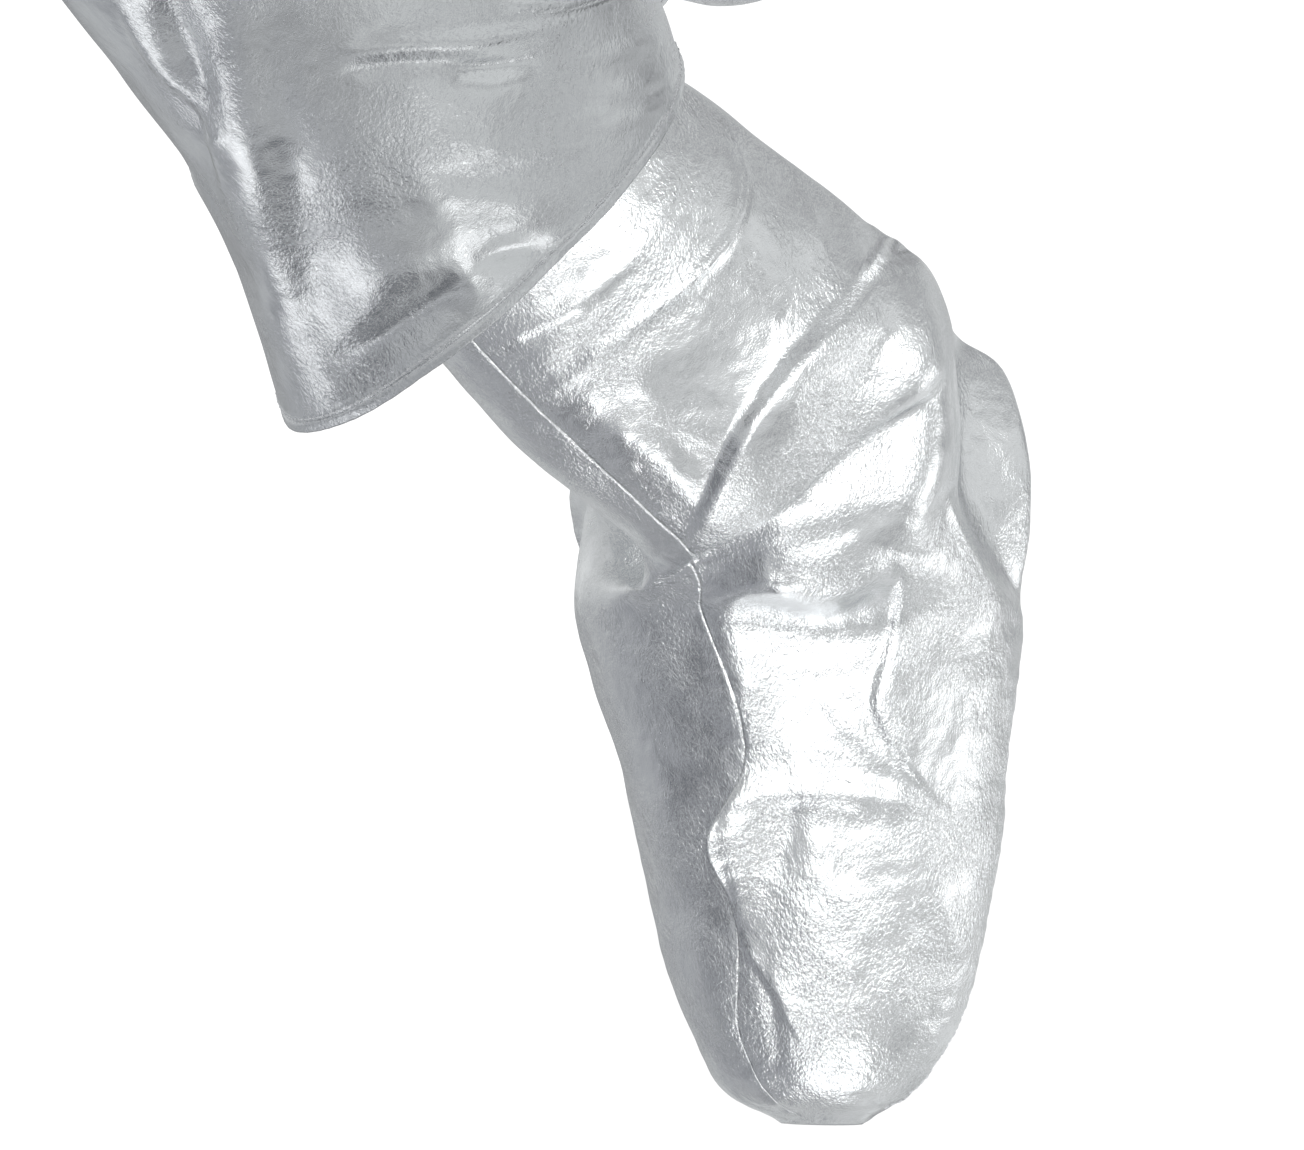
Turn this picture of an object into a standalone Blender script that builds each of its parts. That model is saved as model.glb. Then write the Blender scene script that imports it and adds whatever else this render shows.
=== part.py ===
"""A silver space-suit costume held in a running leap, hollow, as if worn by a general figure.

The jumpsuit is cut as two fronts, two backs, two one-piece legs, two one-piece sleeves, a collar and a
placket. A pair of boot covers, two side panels each, comes out from under the trouser hems. Every piece
is a thin wall round an empty space. Lengths below are in millimetres, measured from the middle of the
left lower leg or from the middle of the hips, and each mesh is written in metres from the neck.
"""
import bpy
import bmesh
import numpy as np
from math import cos, radians, sin

MM = 0.001
WALL = 1.5                # cloth thickness
SEAM = 0.5                # gap between two pieces along a seam
LIFT = 2.4                # how far the placket's middle lies above the fronts' middle

TURN = radians(-22)       # the body faces this far to its own right of -Y
LEAN = radians(6)         # and leans this far forward
HIPS = np.array([-154.0, 54.0, 640.0])     # middle of the hips, in the lower leg's frame
NECK_RISE = 580.0         # from the hips' middle up to the base of the neck

WAIST_Z, UNDERARM_Z, SHOULDER_Z, NECK_Z = 130.0, 392.0, 540.0, 590.0
HIP_Z = 40.0
WAIST, HIP = (165.0, 117.0), (178.0, 127.0)    # half widths and half depths of the waist and the hips

SOLE_UP = np.array([-0.347, -0.937, -0.044])   # from the left sole towards the instep
SOLE_BACK = 100.0                               # depth of the left sole's plane below the leg's middle

BOOT_SEAM = 1.9           # the boot panels meet at an angle, so their middles stay further apart


def unit(vector):
    """The vector at length one."""
    vector = np.asarray(vector, dtype=float)
    return vector / np.linalg.norm(vector)


def turned(angle, axis):
    """A rotation matrix about X (axis 0) or Z (axis 2)."""
    c, s = cos(angle), sin(angle)
    if axis == 0:
        return np.array([[1, 0, 0], [0, c, -s], [0, s, c]])
    return np.array([[c, -s, 0], [s, c, 0], [0, 0, 1]])


BODY = turned(TURN, 2) @ turned(LEAN, 0)
NECK = HIPS + BODY @ np.array([0, 0, NECK_RISE])


def from_body(points):
    """Points given from the hips (X to the left hand, Y to the back) in the lower leg's frame."""
    return np.asarray(points, dtype=float) @ BODY.T + HIPS


def to_body(points):
    """The reverse of from_body."""
    return (np.asarray(points, dtype=float) - HIPS) @ BODY


# ------------------------------------------------------------------ curves and lofts

def hermite(rows, at, where):
    """Values at `where` on the smooth curve that passes through rows[i] at at[i]."""
    slope = np.gradient(rows, at, axis=0)
    k = np.clip(np.searchsorted(at, where, side="right") - 1, 0, len(at) - 2)
    span = at[k + 1] - at[k]
    t = (where - at[k]) / span
    shape = (-1,) + (1,) * (rows.ndim - 1)
    t, span = t.reshape(shape), span.reshape(shape)
    return ((2 * t**3 - 3 * t**2 + 1) * rows[k] + (t**3 - 2 * t**2 + t) * span * slope[k]
            + (3 * t**2 - 2 * t**3) * rows[k + 1] + (t**3 - t**2) * span * slope[k + 1])


def loft(rows, count):
    """A grid of `count` rows on the smooth surface through the given rows."""
    rows = np.array(rows, dtype=float)
    step = np.linalg.norm(np.diff(rows, axis=0), axis=2).mean(axis=1)
    at = np.concatenate(([0.0], np.cumsum(step)))
    return hermite(rows, at, np.linspace(0, at[-1], count))


def around(points, count):
    """`count` points on the smooth closed loop through the given points."""
    points = np.array(points, dtype=float)
    wrapped = np.concatenate([points[-3:], points, points[:4]])
    step = np.linalg.norm(np.diff(wrapped, axis=0), axis=1)
    at = np.concatenate(([0.0], np.cumsum(step)))
    start, end = at[3], at[3 + len(points)]
    return hermite(wrapped, at, np.linspace(start, end, count, endpoint=False))


def arc(start, lead, tail, end, count):
    """A cubic across a panel. It leaves `start` along `lead` and comes to `end` from `end + tail`."""
    p0, p3 = np.array(start, dtype=float), np.array(end, dtype=float)
    p1, p2 = p0 + lead, p3 + tail
    trim = SEAM / 2 / np.linalg.norm(p3 - p0)
    t = np.linspace(trim, 1 - trim, count)[:, None]
    return (1 - t)**3 * p0 + 3 * t * (1 - t)**2 * p1 + 3 * t**2 * (1 - t) * p2 + t**3 * p3


def sweep(centre, side, front, half_side, half_front, angles):
    """Points of an ellipse, 0 degrees on `side` and 90 on `front`."""
    a = np.radians(angles)[:, None]
    return np.asarray(centre) + half_side * np.cos(a) * side + half_front * np.sin(a) * front


# ------------------------------------------------------------------ pieces

def cloth_material(name, colour, roughness):
    """Foil-coated cloth."""
    material = bpy.data.materials.new(name)
    material.use_nodes = True
    shader = material.node_tree.nodes["Principled BSDF"]
    shader.inputs["Base Color"].default_value = (*colour, 1)
    shader.inputs["Roughness"].default_value = roughness
    shader.inputs["Metallic"].default_value = 0.9
    return material


def cloth(name, grid, colour, roughness=0.35, tube=False):
    """A piece of cloth through a grid of points, WALL thick. A tube's last column meets its first."""
    bm = bmesh.new()
    verts = [[bm.verts.new((point - NECK) * MM) for point in row] for row in grid]
    columns = len(grid[0])
    for lower, upper in zip(verts, verts[1:]):
        for j in range(columns if tube else columns - 1):
            k = (j + 1) % columns
            bm.faces.new((lower[j], lower[k], upper[k], upper[j]))
    mesh = bpy.data.meshes.new(name)
    bm.to_mesh(mesh)
    bm.free()
    mesh.shade_smooth()
    mesh.materials.append(cloth_material(name + "_cloth", colour, roughness))
    piece = bpy.data.objects.new(name, mesh)
    bpy.context.scene.collection.objects.link(piece)
    wall = piece.modifiers.new("Wall", "SOLIDIFY")
    wall.thickness = WALL * MM
    wall.offset = 0
    return piece


SUIT = (0.72, 0.73, 0.75)
BOOT = (0.75, 0.76, 0.78)


# ------------------------------------------------------------------ bodice

def bodice_rows(face, count):
    """Rows of one left-hand panel from the waist to the shoulder, from its side to the centre line.

    face is -1 for the front and 1 for the back. The side edge runs up the side seam and round half of the
    armhole, and the other edge runs up the centre and round a quarter of the neck.
    """
    front = face < 0
    if front:
        centre = [(0, WAIST[1], WAIST_Z), (0, 126, 235), (0, 132, 380), (0, 130, 440), (0, 116, 528),
                  (50, 84, 552), (73, 42, 577), (77, 14, 588), (78, 0, NECK_Z)]
    else:
        centre = [(0, WAIST[1], WAIST_Z), (0, 121, 240), (0, 126, 385), (0, 122, 460), (0, 108, 566),
                  (46, 70, 578), (70, 34, 586), (77, 12, 589), (78, 0, NECK_Z)]
    side = [(165, 0, WAIST_Z), (172, 0, 230), (182, 0, 340), (180, 1, UNDERARM_Z), (164, 50, 428),
            (164, 52, 476), (183, 27, 528), (192, 10, 538), (195, 0, SHOULDER_Z)]
    lead = [(0, 64), (0, 68), (0, 70), (-8, 62), (-16, 42), (-22, 30), (-32, 16), (-36, 5), (-38, 0)]
    tail = [(90, 0), (95, 0), (100, 0), (96, 0), (84, 0), (45, 14), (32, 8), (33, 3), (34, 0)]
    rows = []
    for (x0, y0, z0), (x3, y3, z3), (x1, y1), (x2, y2) in zip(side, centre, lead, tail):
        rise = (z3 - z0) / 3
        rows.append(arc((x0, face * y0, z0), (x1, face * y1, rise), (x2, face * y2, -rise),
                        (x3, face * y3, z3), count))
    return rows


def make_bodice():
    """Two fronts and two backs."""
    for face, word in ((-1, "front"), (1, "back")):
        rows = bodice_rows(face, 8)
        rows[0] = rows[0] + (0, 0, SEAM / 2)
        grid = loft(rows, 14)
        grid[..., 0] = np.maximum(grid[..., 0], SEAM / 2)
        grid[..., 1] = face * np.maximum(face * grid[..., 1], SEAM)
        cloth(f"bodice_{word}_left", from_body(grid), SUIT)
        cloth(f"bodice_{word}_right", from_body(grid * (-1, 1, 1)), SUIT)


def armhole(out):
    """The loop of the left armhole from the underarm up its front and down its back, moved `out` sideways."""
    front = [(180, 0, UNDERARM_Z), (164, -50, 428), (164, -52, 476), (183, -27, 528), (195, 0, SHOULDER_Z)]
    back = [(183, 27, 528), (164, 52, 476), (164, 50, 428)]
    return np.array(front + back) + (out, 0, -out * 0.3)


ARM_POINTS = 14
LEFT_ARM = [((238, 4, 428), 72, (0.80, 0.05, -0.60)), ((330, 20, 352), 69, (0.76, 0.12, -0.64)),
            ((412, 34, 262), 66, (0.72, -0.05, -0.69)), ((470, 8, 170), 62, (0.52, -0.42, -0.74)),
            ((506, -48, 92), 60, (0.36, -0.64, -0.68))]
RIGHT_ARM = [((238, -6, 432), 72, (0.84, -0.14, -0.52)), ((330, -34, 376), 69, (0.80, -0.32, -0.50)),
             ((410, -84, 324), 66, (0.70, -0.62, -0.34)), ((452, -160, 306), 62, (0.36, -0.92, 0.08)),
             ((470, -246, 328), 60, (0.16, -0.94, 0.30))]


def make_sleeves():
    """One-piece sleeves from the armhole to an open cuff."""
    angles = np.arange(ARM_POINTS) * 360 / ARM_POINTS
    for name, arm, flip in (("sleeve_left", LEFT_ARM, 1), ("sleeve_right", RIGHT_ARM, -1)):
        rings = [around(armhole(1.8), ARM_POINTS)]
        for centre, half, along in arm:
            along = unit(along)
            down = unit(np.array([0, 0, -1.0]) + along[2] * along)
            rings.append(sweep(centre, down, np.cross(down, along), half * 1.04, half * 0.94, angles))
        cloth(name, from_body(loft(rings, 12) * (flip, 1, 1)), SUIT, tube=True)


def make_collar():
    """A stand collar round the neck, open at the front."""
    left = [(3, -116, 528), (50, -84, 552), (73, -42, 577), (78, 0, NECK_Z), (70, 34, 586), (46, 70, 578)]
    loop = left + [(0, 108, 566)] + [(-x, y, z) for x, y, z in reversed(left)]
    base = loft(np.array(loop)[:, None, :], 25)[:, 0, :]
    top = base * (0.90, 0.88, 1) + (0, 0, 36)
    rows = [base + (0, 0, 2.8), (base + top) / 2 + (0, 0, 1), top]
    cloth("collar", from_body(loft(rows, 4)), SUIT)


PLACKET = 20              # half of the placket's width
PLACKET_END_Z = 52        # its lower end, below the waist seam


def make_placket():
    """The strip over the front opening. Its points are the fronts' own points, moved out."""
    across = np.linspace(-PLACKET, PLACKET, 5)
    legs = [row for row in to_body(loft(leg_rows(True, 41), 60)) if WAIST_Z - 8 > row[0, 2] > PLACKET_END_Z]
    fronts = [row[::-1] for row in loft(bodice_rows(-1, 25), 15) if row[-1, 0] < 1 and row[-1, 2] < 525]
    rows = []
    for row in legs[::-1] + fronts:
        x, y, z = row[:12].T
        rows.append(np.column_stack([across, np.interp(abs(across), x, y), np.interp(abs(across), x, z)]))
    cloth("placket", from_body(loft(rows, 12) + (0, -LIFT, 0)), SUIT)


# ------------------------------------------------------------------ legs

def outline_ring(left, right, depth, half, tilt, angles):
    """A slanting ring of the left lower leg, seen from -Y, between two outline points given as (x, z).

    The ring's near side swings towards the foot by `tilt` degrees.
    """
    a, b = np.array([left[0], depth, left[1]], float), np.array([right[0], depth, right[1]], float)
    along = (b - a) / 2
    across = unit(along)
    near = np.array([across[2] * sin(radians(tilt)), -cos(radians(tilt)), -across[0] * sin(radians(tilt))])
    t = np.radians(angles)[:, None]
    return (a + b) / 2 + np.cos(t) * along + np.sin(t) * half * near


SIDE_ANGLE = 48.5         # where the outer side of the left leg lies on an outline ring
LEFT_ANKLE = np.array([66.0, 0.0, 42.0])
LEFT_KNEE = np.array([-165.0, -200.0, 295.0])
RIGHT_KNEE = np.array([-122.0, 321.0, 303.0])
RIGHT_SHIN = unit((0.055, 0.90, 0.146))


def limb_axes(hip, knee, shin, left):
    """Directions of a bent leg: down the shin, to its outer side and to its front."""
    up_thigh = unit(hip - knee)
    front = -unit(up_thigh - up_thigh @ shin * shin)
    outer = np.cross(front, shin) if left else np.cross(shin, front)
    return shin, outer, front


LEFT_HIP = HIPS + BODY @ np.array([85.0, 0, 0])
RIGHT_HIP = HIPS + BODY @ np.array([-85.0, 0, 0])
LEFT_AXES = limb_axes(LEFT_HIP, LEFT_KNEE, unit(LEFT_ANKLE - LEFT_KNEE), True)
RIGHT_AXES = limb_axes(RIGHT_HIP, RIGHT_KNEE, RIGHT_SHIN, False)


def to_right(points):
    """Points of the left lower leg moved onto the right one, mirrored from side to side."""
    local = (np.asarray(points) - LEFT_KNEE) @ np.array(LEFT_AXES).T
    return local @ np.array(RIGHT_AXES) + RIGHT_KNEE


def lower_leg_rings(angles):
    """Rings of the left trouser leg from under the knee to the hem."""
    rings = [((-196, 185), (-42, 286), -168, 84, 14), ((-168, 146), (-22, 257), -146, 82, 17),
             ((-149, 103), (-2, 227), -112, 82, 20), ((-137, 58), (10, 199), -84, 82, 20)]
    return [outline_ring(*ring, angles + SIDE_ANGLE) for ring in rings]


def leg_rows(left, count):
    """Rows of one leg from the waist to the hem, from the centre front round the outer side to the back."""
    flip = 1 if left else -1
    hip, knee = (LEFT_HIP, LEFT_KNEE) if left else (RIGHT_HIP, RIGHT_KNEE)
    shin, outer, front = LEFT_AXES if left else RIGHT_AXES
    x, y, z = np.eye(3)
    half = 90 - 180 * np.linspace(0, 1, count)
    rows = [from_body(sweep((0, 0, WAIST_Z - SEAM / 2), x, -y, *WAIST, half) * (flip, 1, 1)),
            from_body(sweep((0, 0, HIP_Z), x, -y, *HIP, half) * (flip, 1, 1))]
    wrap = 124 - 248 * np.linspace(0, 1, count)
    rows.append(from_body(sweep((62, 0, -30), x, -y, 118, 128, wrap) * (flip, 1, 1)))
    ring = 180 - 360 * np.linspace(0.0005, 0.9995, count)
    thigh = unit(knee - hip)
    body_side = BODY @ np.array([flip, 0, 0])
    stages = [(0.20, 0.2, 96, 122), (0.42, 0.5, 95, 110), (0.66, 0.8, 92, 102), (0.86, 1.0, 89, 97)]
    for down, blend, half_side, half_front in stages:
        side = unit(body_side * (1 - blend) + outer * blend)
        side = unit(side - side @ thigh * thigh)
        ahead = -np.cross(side, thigh) * flip
        ahead = ahead * np.sign(ahead @ front + ahead @ -y)
        centre = hip + (knee - hip) * down
        rows.append(sweep(centre, side, ahead, half_side, half_front, ring))
    bisector = unit(thigh + shin)
    ahead = unit(front - front @ bisector * bisector)
    rows.append(sweep(knee + 6 * bisector - 6 * ahead, outer, ahead, 88, 95, ring))
    lower = lower_leg_rings(ring)
    rows += lower if left else [to_right(row) for row in lower]
    return rows


def parted(grid, left):
    """A leg's grid kept to its own side of the crotch seam. The limit fades out down the thigh."""
    side = BODY @ np.array([1 if left else -1, 0, 0])
    gap = SEAM / 2 + 0.6 * WALL * np.clip((660 - grid[..., 2]) / 30, 0, 1)
    over = np.minimum((grid - HIPS) @ side - gap, 0)
    fade = np.clip((grid[..., 2] - 420) / 60, 0, 1)
    return grid - (over * fade)[..., None] * side


def make_legs():
    """Each leg in one piece."""
    for left, word in ((True, "left"), (False, "right")):
        cloth(f"leg_{word}", parted(loft(leg_rows(left, 15), 23), left), SUIT)


# ------------------------------------------------------------------ boot covers

def on_sole(x, z):
    """The point of the left sole's plane seen at (x, z)."""
    y = SOLE_BACK - (SOLE_UP[0] * (x - 60) + SOLE_UP[2] * (z + 60)) / SOLE_UP[1]
    return np.array([x, y, z])


FRONT_SEAM = 145          # where the front seam lies on the shaft's rings
UNDER = 26                # degrees that the rim turns under the sole


def shaft_rows(outer, count):
    """Half rings of the left shaft from its top to the ankle, from the front seam to the back seam."""
    rings = [((-108, 116), (-24, 204), -100, 58), ((-78, 79), (18, 184), -76, 62),
             ((-50, 48), (47, 163), -54, 60), ((-25, 28), (82, 137), -32, 58), ((-6, 12), (106, 115), -14, 56)]
    turn = -180 if outer else 180
    rows = []
    trim = np.degrees(BOOT_SEAM / 2 / 60)
    for left, right, depth, half in rings:
        sweep_angles = FRONT_SEAM + np.sign(turn) * np.linspace(trim, 180 - trim, count)
        rows.append(outline_ring(left, right, depth, half, 30, sweep_angles))
    return rows


def through(points, count):
    """`count` points evenly along the smooth curve through a few guide points, its ends trimmed for the seam."""
    points = np.array(points, dtype=float)
    at = np.concatenate(([0.0], np.cumsum(np.linalg.norm(np.diff(points, axis=0), axis=1))))
    return hermite(points, at, np.linspace(BOOT_SEAM / 2, at[-1] - BOOT_SEAM / 2, count))


def heel_rows(outer, count):
    """Rows that fan round the heel from the ankle to the instep. The last point of each is under the sole."""
    seam = [(15, -24, 5), (17, -21, 2), (19, -16, -2), (20, -10, -6)]
    if outer:
        over = [[(48, -50, 24), (88, -42, 56), (117, -4, 88), (112, 30, 94)],
                [(52, -47, 14), (92, -36, 34), (118, 0, 56), (113, 30, 64)],
                [(55, -41, 4), (94, -28, 16), (118, 4, 28), (120, 32, 33)],
                [(56, -33, -5), (93, -20, 0), (122, 12, 8), (131, 40, 10)]]
        rim = [(120, 92), (138, 80), (147, 52), (150, 22)]
    else:
        over = [[(-4, 2, -6), (16, 42, 12), (60, 58, 52), (98, 48, 84)],
                [(-6, 6, -6), (4, 48, 8), (28, 78, 44), (54, 84, 84)],
                [(-7, 10, -6), (-8, 46, 4), (-6, 84, 34), (4, 100, 74)],
                [(-6, 12, -8), (-18, 44, 0), (-27, 80, 14), (-30, 104, 36)]]
        rim = [(102, 97), (52, 104), (-4, 88), (-39, 42)]
    middle = on_sole(60, 20)
    rows = []
    for i in range(4):
        edge = on_sole(*rim[i])
        under = edge + 9 * unit(middle - edge) * (i + 1) / 4 - 3 * SOLE_UP
        rows.append(through([seam[i], *over[i], edge, under], count))
    return rows


def foot_rows(outer, count):
    """Arched rows over the left foot from the instep to the toe, from the front seam to under the sole."""
    stations = [((-24, -8), (147, -10), 104, 94), ((-18, -39), (145, -41), 96, 88), ((-6, -77), (141, -77), 86, 90),
                ((1, -113), (138, -111), 76, 98), ((8, -149), (131, -147), 66, 102),
                ((19, -181), (121, -181), 53, 110), ((31, -206), (105, -206), 36, 104),
                ((52, -220), (84, -220), 6, 92)]
    rows = []
    for i, (left, right, height, seam) in enumerate(stations):
        a, b = on_sole(*left), on_sole(*right)
        half = (b - a) / 2
        trim = np.degrees(BOOT_SEAM / 2 / 70)
        under = UNDER if i < len(stations) - 1 else 4
        angles = np.linspace(seam - trim, -under, count) if outer \
            else np.linspace(seam + trim, 180 + under, count)
        t = np.radians(angles)[:, None]
        lift = np.where(np.sin(t) > 0, height * np.sin(t), 10 * np.sin(t))
        rows.append((a + b) / 2 + np.cos(t) * half + lift * SOLE_UP)
    return rows


def make_boots():
    """Two side panels a boot, the right boot mirrored from the left."""
    for outer, word in ((True, "outer"), (False, "inner")):
        count = 9
        rows = shaft_rows(outer, count) + heel_rows(outer, count) + foot_rows(outer, count)
        grid = loft(rows, 24)
        cloth(f"boot_left_{word}", grid, BOOT, 0.3)
        cloth(f"boot_right_{word}", to_right(grid), BOOT, 0.3)


def main():
    """Clears the scene and makes every piece."""
    for old in list(bpy.data.objects):
        bpy.data.objects.remove(old, do_unlink=True)
    make_bodice()
    make_sleeves()
    make_collar()
    make_placket()
    make_legs()
    make_boots()


main()
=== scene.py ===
# %% [markdown]
# # A silver space-suit costume in a running leap
# The costume is a one-piece suit and a pair of boot covers, sewn from thin foil-coated cloth (lamé). This
# lesson gives its rigid model a cloth look: high-resolution shells on the same curves, listed folds,
# sewn edges, stitches and a crinkled metallic finish. Lengths are in millimetres from the middle of the left
# lower leg until a mesh is written, and then in metres from the neck.

# %% Load the frame
import bpy
import numpy as np
from math import cos, radians, sin
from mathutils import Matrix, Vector


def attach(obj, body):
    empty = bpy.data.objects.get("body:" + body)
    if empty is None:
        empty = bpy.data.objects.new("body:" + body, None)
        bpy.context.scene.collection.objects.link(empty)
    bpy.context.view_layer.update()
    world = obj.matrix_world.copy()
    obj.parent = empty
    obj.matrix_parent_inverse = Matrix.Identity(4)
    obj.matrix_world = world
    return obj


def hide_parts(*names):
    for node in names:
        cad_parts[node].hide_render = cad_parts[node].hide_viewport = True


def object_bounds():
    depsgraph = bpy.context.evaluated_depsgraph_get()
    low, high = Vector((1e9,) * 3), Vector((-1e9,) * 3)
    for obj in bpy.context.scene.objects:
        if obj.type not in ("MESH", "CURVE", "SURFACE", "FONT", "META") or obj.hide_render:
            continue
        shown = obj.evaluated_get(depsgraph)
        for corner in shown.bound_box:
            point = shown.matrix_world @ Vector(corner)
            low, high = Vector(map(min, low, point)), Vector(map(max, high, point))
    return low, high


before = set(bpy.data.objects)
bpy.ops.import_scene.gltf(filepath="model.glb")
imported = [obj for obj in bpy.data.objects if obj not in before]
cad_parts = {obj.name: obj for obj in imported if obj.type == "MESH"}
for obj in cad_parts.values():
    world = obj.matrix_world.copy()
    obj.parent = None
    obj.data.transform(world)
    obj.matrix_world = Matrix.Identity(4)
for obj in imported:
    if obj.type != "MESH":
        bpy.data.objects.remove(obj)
START_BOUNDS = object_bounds()
print("frame box", START_BOUNDS)

# %% [markdown]
# ## Sizes
# The body stands turned and leaning, so the suit's own coordinates (X to the left hand, Y to the back, Z up
# from the hips) are turned into the shared frame with one small matrix. These are the pattern's numbers.

# %% Sizes of the costume
MM = 0.001
CLOTH = 0.7               # thickness of the shell
SEAM = 0.5                # gap along a seam
BOOT_SEAM = 0.1           # the same, between the panels of a boot cover
TURN = radians(-22)
LEAN = radians(6)
HIPS = np.array([-154.0, 54.0, 640.0])
NECK_RISE = 580.0
WAIST_Z, UNDERARM_Z, SHOULDER_Z, NECK_Z = 130.0, 392.0, 540.0, 590.0
HIP_Z = 40.0
WAIST, HIP = (165.0, 117.0), (178.0, 127.0)
SOLE_UP = np.array([-0.347, -0.937, -0.044])
SOLE_BACK = 100.0


def unit(vector):
    """The vector at length one."""
    vector = np.asarray(vector, dtype=float)
    return vector / np.linalg.norm(vector)


def turned(angle, axis):
    """A rotation matrix about X (axis 0) or Z (axis 2)."""
    c, s = cos(angle), sin(angle)
    if axis == 0:
        return np.array([[1, 0, 0], [0, c, -s], [0, s, c]])
    return np.array([[c, -s, 0], [s, c, 0], [0, 0, 1]])


BODY = turned(TURN, 2) @ turned(LEAN, 0)
NECK = HIPS + BODY @ np.array([0, 0, NECK_RISE])


def from_body(points):
    """Points given from the hips, in the leg's frame."""
    return np.asarray(points, dtype=float) @ BODY.T + HIPS


def to_body(points):
    """The reverse of from_body."""
    return (np.asarray(points, dtype=float) - HIPS) @ BODY


def metres(points):
    """Points in the leg's frame as metres from the neck."""
    return (np.asarray(points, dtype=float) - NECK) * MM


print("neck stands", round(float(NECK[2])), "mm above the ankle's middle")

# %% [markdown]
# ## Curves and lofts
# A tailor's pattern is drawn from a few measured lines. Here each piece is a list of rows of points, and one
# smooth surface (a loft) passes through them all. A Hermite curve is used because it goes exactly through
# every point and never needs a solver.

# %% Smooth curves


def hermite(rows, at, where):
    """Values at `where` on the smooth curve that passes through rows[i] at at[i]."""
    slope = np.gradient(rows, at, axis=0)
    k = np.clip(np.searchsorted(at, where, side="right") - 1, 0, len(at) - 2)
    span = at[k + 1] - at[k]
    t = (where - at[k]) / span
    shape = (-1,) + (1,) * (rows.ndim - 1)
    t, span = t.reshape(shape), span.reshape(shape)
    return ((2 * t**3 - 3 * t**2 + 1) * rows[k] + (t**3 - 2 * t**2 + t) * span * slope[k]
            + (3 * t**2 - 2 * t**3) * rows[k + 1] + (t**3 - t**2) * span * slope[k + 1])


def loft(rows, where):
    """The smooth surface through the rows, at the fractions `where` of its length, or in a number of rows."""
    rows = np.array(rows, dtype=float)
    step = np.linalg.norm(np.diff(rows, axis=0), axis=2).mean(axis=1)
    at = np.concatenate(([0.0], np.cumsum(step)))
    if isinstance(where, int):
        where = np.linspace(0, 1, where)
    return hermite(rows, at, where * at[-1])


def around(points, count):
    """`count` points on the smooth closed loop through the given points."""
    points = np.array(points, dtype=float)
    wrapped = np.concatenate([points[-3:], points, points[:4]])
    step = np.linalg.norm(np.diff(wrapped, axis=0), axis=1)
    at = np.concatenate(([0.0], np.cumsum(step)))
    start, end = at[3], at[3 + len(points)]
    return hermite(wrapped, at, np.linspace(start, end, count, endpoint=False))


def arc(start, lead, tail, end, count):
    """A cubic across a panel. It leaves `start` along `lead` and comes to `end` from `end + tail`."""
    p0, p3 = np.array(start, dtype=float), np.array(end, dtype=float)
    p1, p2 = p0 + lead, p3 + tail
    trim = SEAM / 2 / np.linalg.norm(p3 - p0)
    t = np.linspace(trim, 1 - trim, count)[:, None]
    return (1 - t)**3 * p0 + 3 * t * (1 - t)**2 * p1 + 3 * t**2 * (1 - t) * p2 + t**3 * p3


def sweep(centre, side, front, half_side, half_front, angles):
    """Points of an ellipse, 0 degrees on `side` and 90 on `front`."""
    a = np.radians(angles)[:, None]
    return np.asarray(centre) + half_side * np.cos(a) * side + half_front * np.sin(a) * front


print("curve helpers ready")

# %% [markdown]
# ## Rows of the suit
# The bodice is two fronts and two backs, each from the side seam to the centre. Its rows run from the waist
# up to the shoulder and the quarter of the neck. Sleeves are one-piece tubes from the armhole to the cuff.

# %% Bodice, armhole and sleeves


def bodice_rows(face, count):
    """Rows of one left-hand panel from the waist to the shoulder, from its side to the centre line."""
    if face < 0:
        centre = [(0, WAIST[1], WAIST_Z), (0, 126, 235), (0, 132, 380), (0, 130, 440), (0, 116, 528),
                  (50, 84, 552), (73, 42, 577), (77, 14, 588), (78, 0, NECK_Z)]
    else:
        centre = [(0, WAIST[1], WAIST_Z), (0, 121, 240), (0, 126, 385), (0, 122, 460), (0, 108, 566),
                  (46, 70, 578), (70, 34, 586), (77, 12, 589), (78, 0, NECK_Z)]
    side = [(165, 0, WAIST_Z), (172, 0, 230), (182, 0, 340), (180, 1, UNDERARM_Z), (164, 50, 428),
            (164, 52, 476), (183, 27, 528), (192, 10, 538), (195, 0, SHOULDER_Z)]
    lead = [(0, 64), (0, 68), (0, 70), (-8, 62), (-16, 42), (-22, 30), (-32, 16), (-36, 5), (-38, 0)]
    tail = [(90, 0), (95, 0), (100, 0), (96, 0), (84, 0), (45, 14), (32, 8), (33, 3), (34, 0)]
    rows = []
    for (x0, y0, z0), (x3, y3, z3), (x1, y1), (x2, y2) in zip(side, centre, lead, tail):
        rise = (z3 - z0) / 3
        rows.append(arc((x0, face * y0, z0), (x1, face * y1, rise), (x2, face * y2, -rise),
                        (x3, face * y3, z3), count))
    rows[0] = rows[0] + (0, 0, SEAM / 2)
    return rows


def armhole(out):
    """The loop of the left armhole from the underarm up its front and down its back, moved `out` sideways."""
    front = [(180, 0, UNDERARM_Z), (164, -50, 428), (164, -52, 476), (183, -27, 528), (195, 0, SHOULDER_Z)]
    back = [(183, 27, 528), (164, 52, 476), (164, 50, 428)]
    return np.array(front + back) + (out, 0, -out * 0.3)


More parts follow.
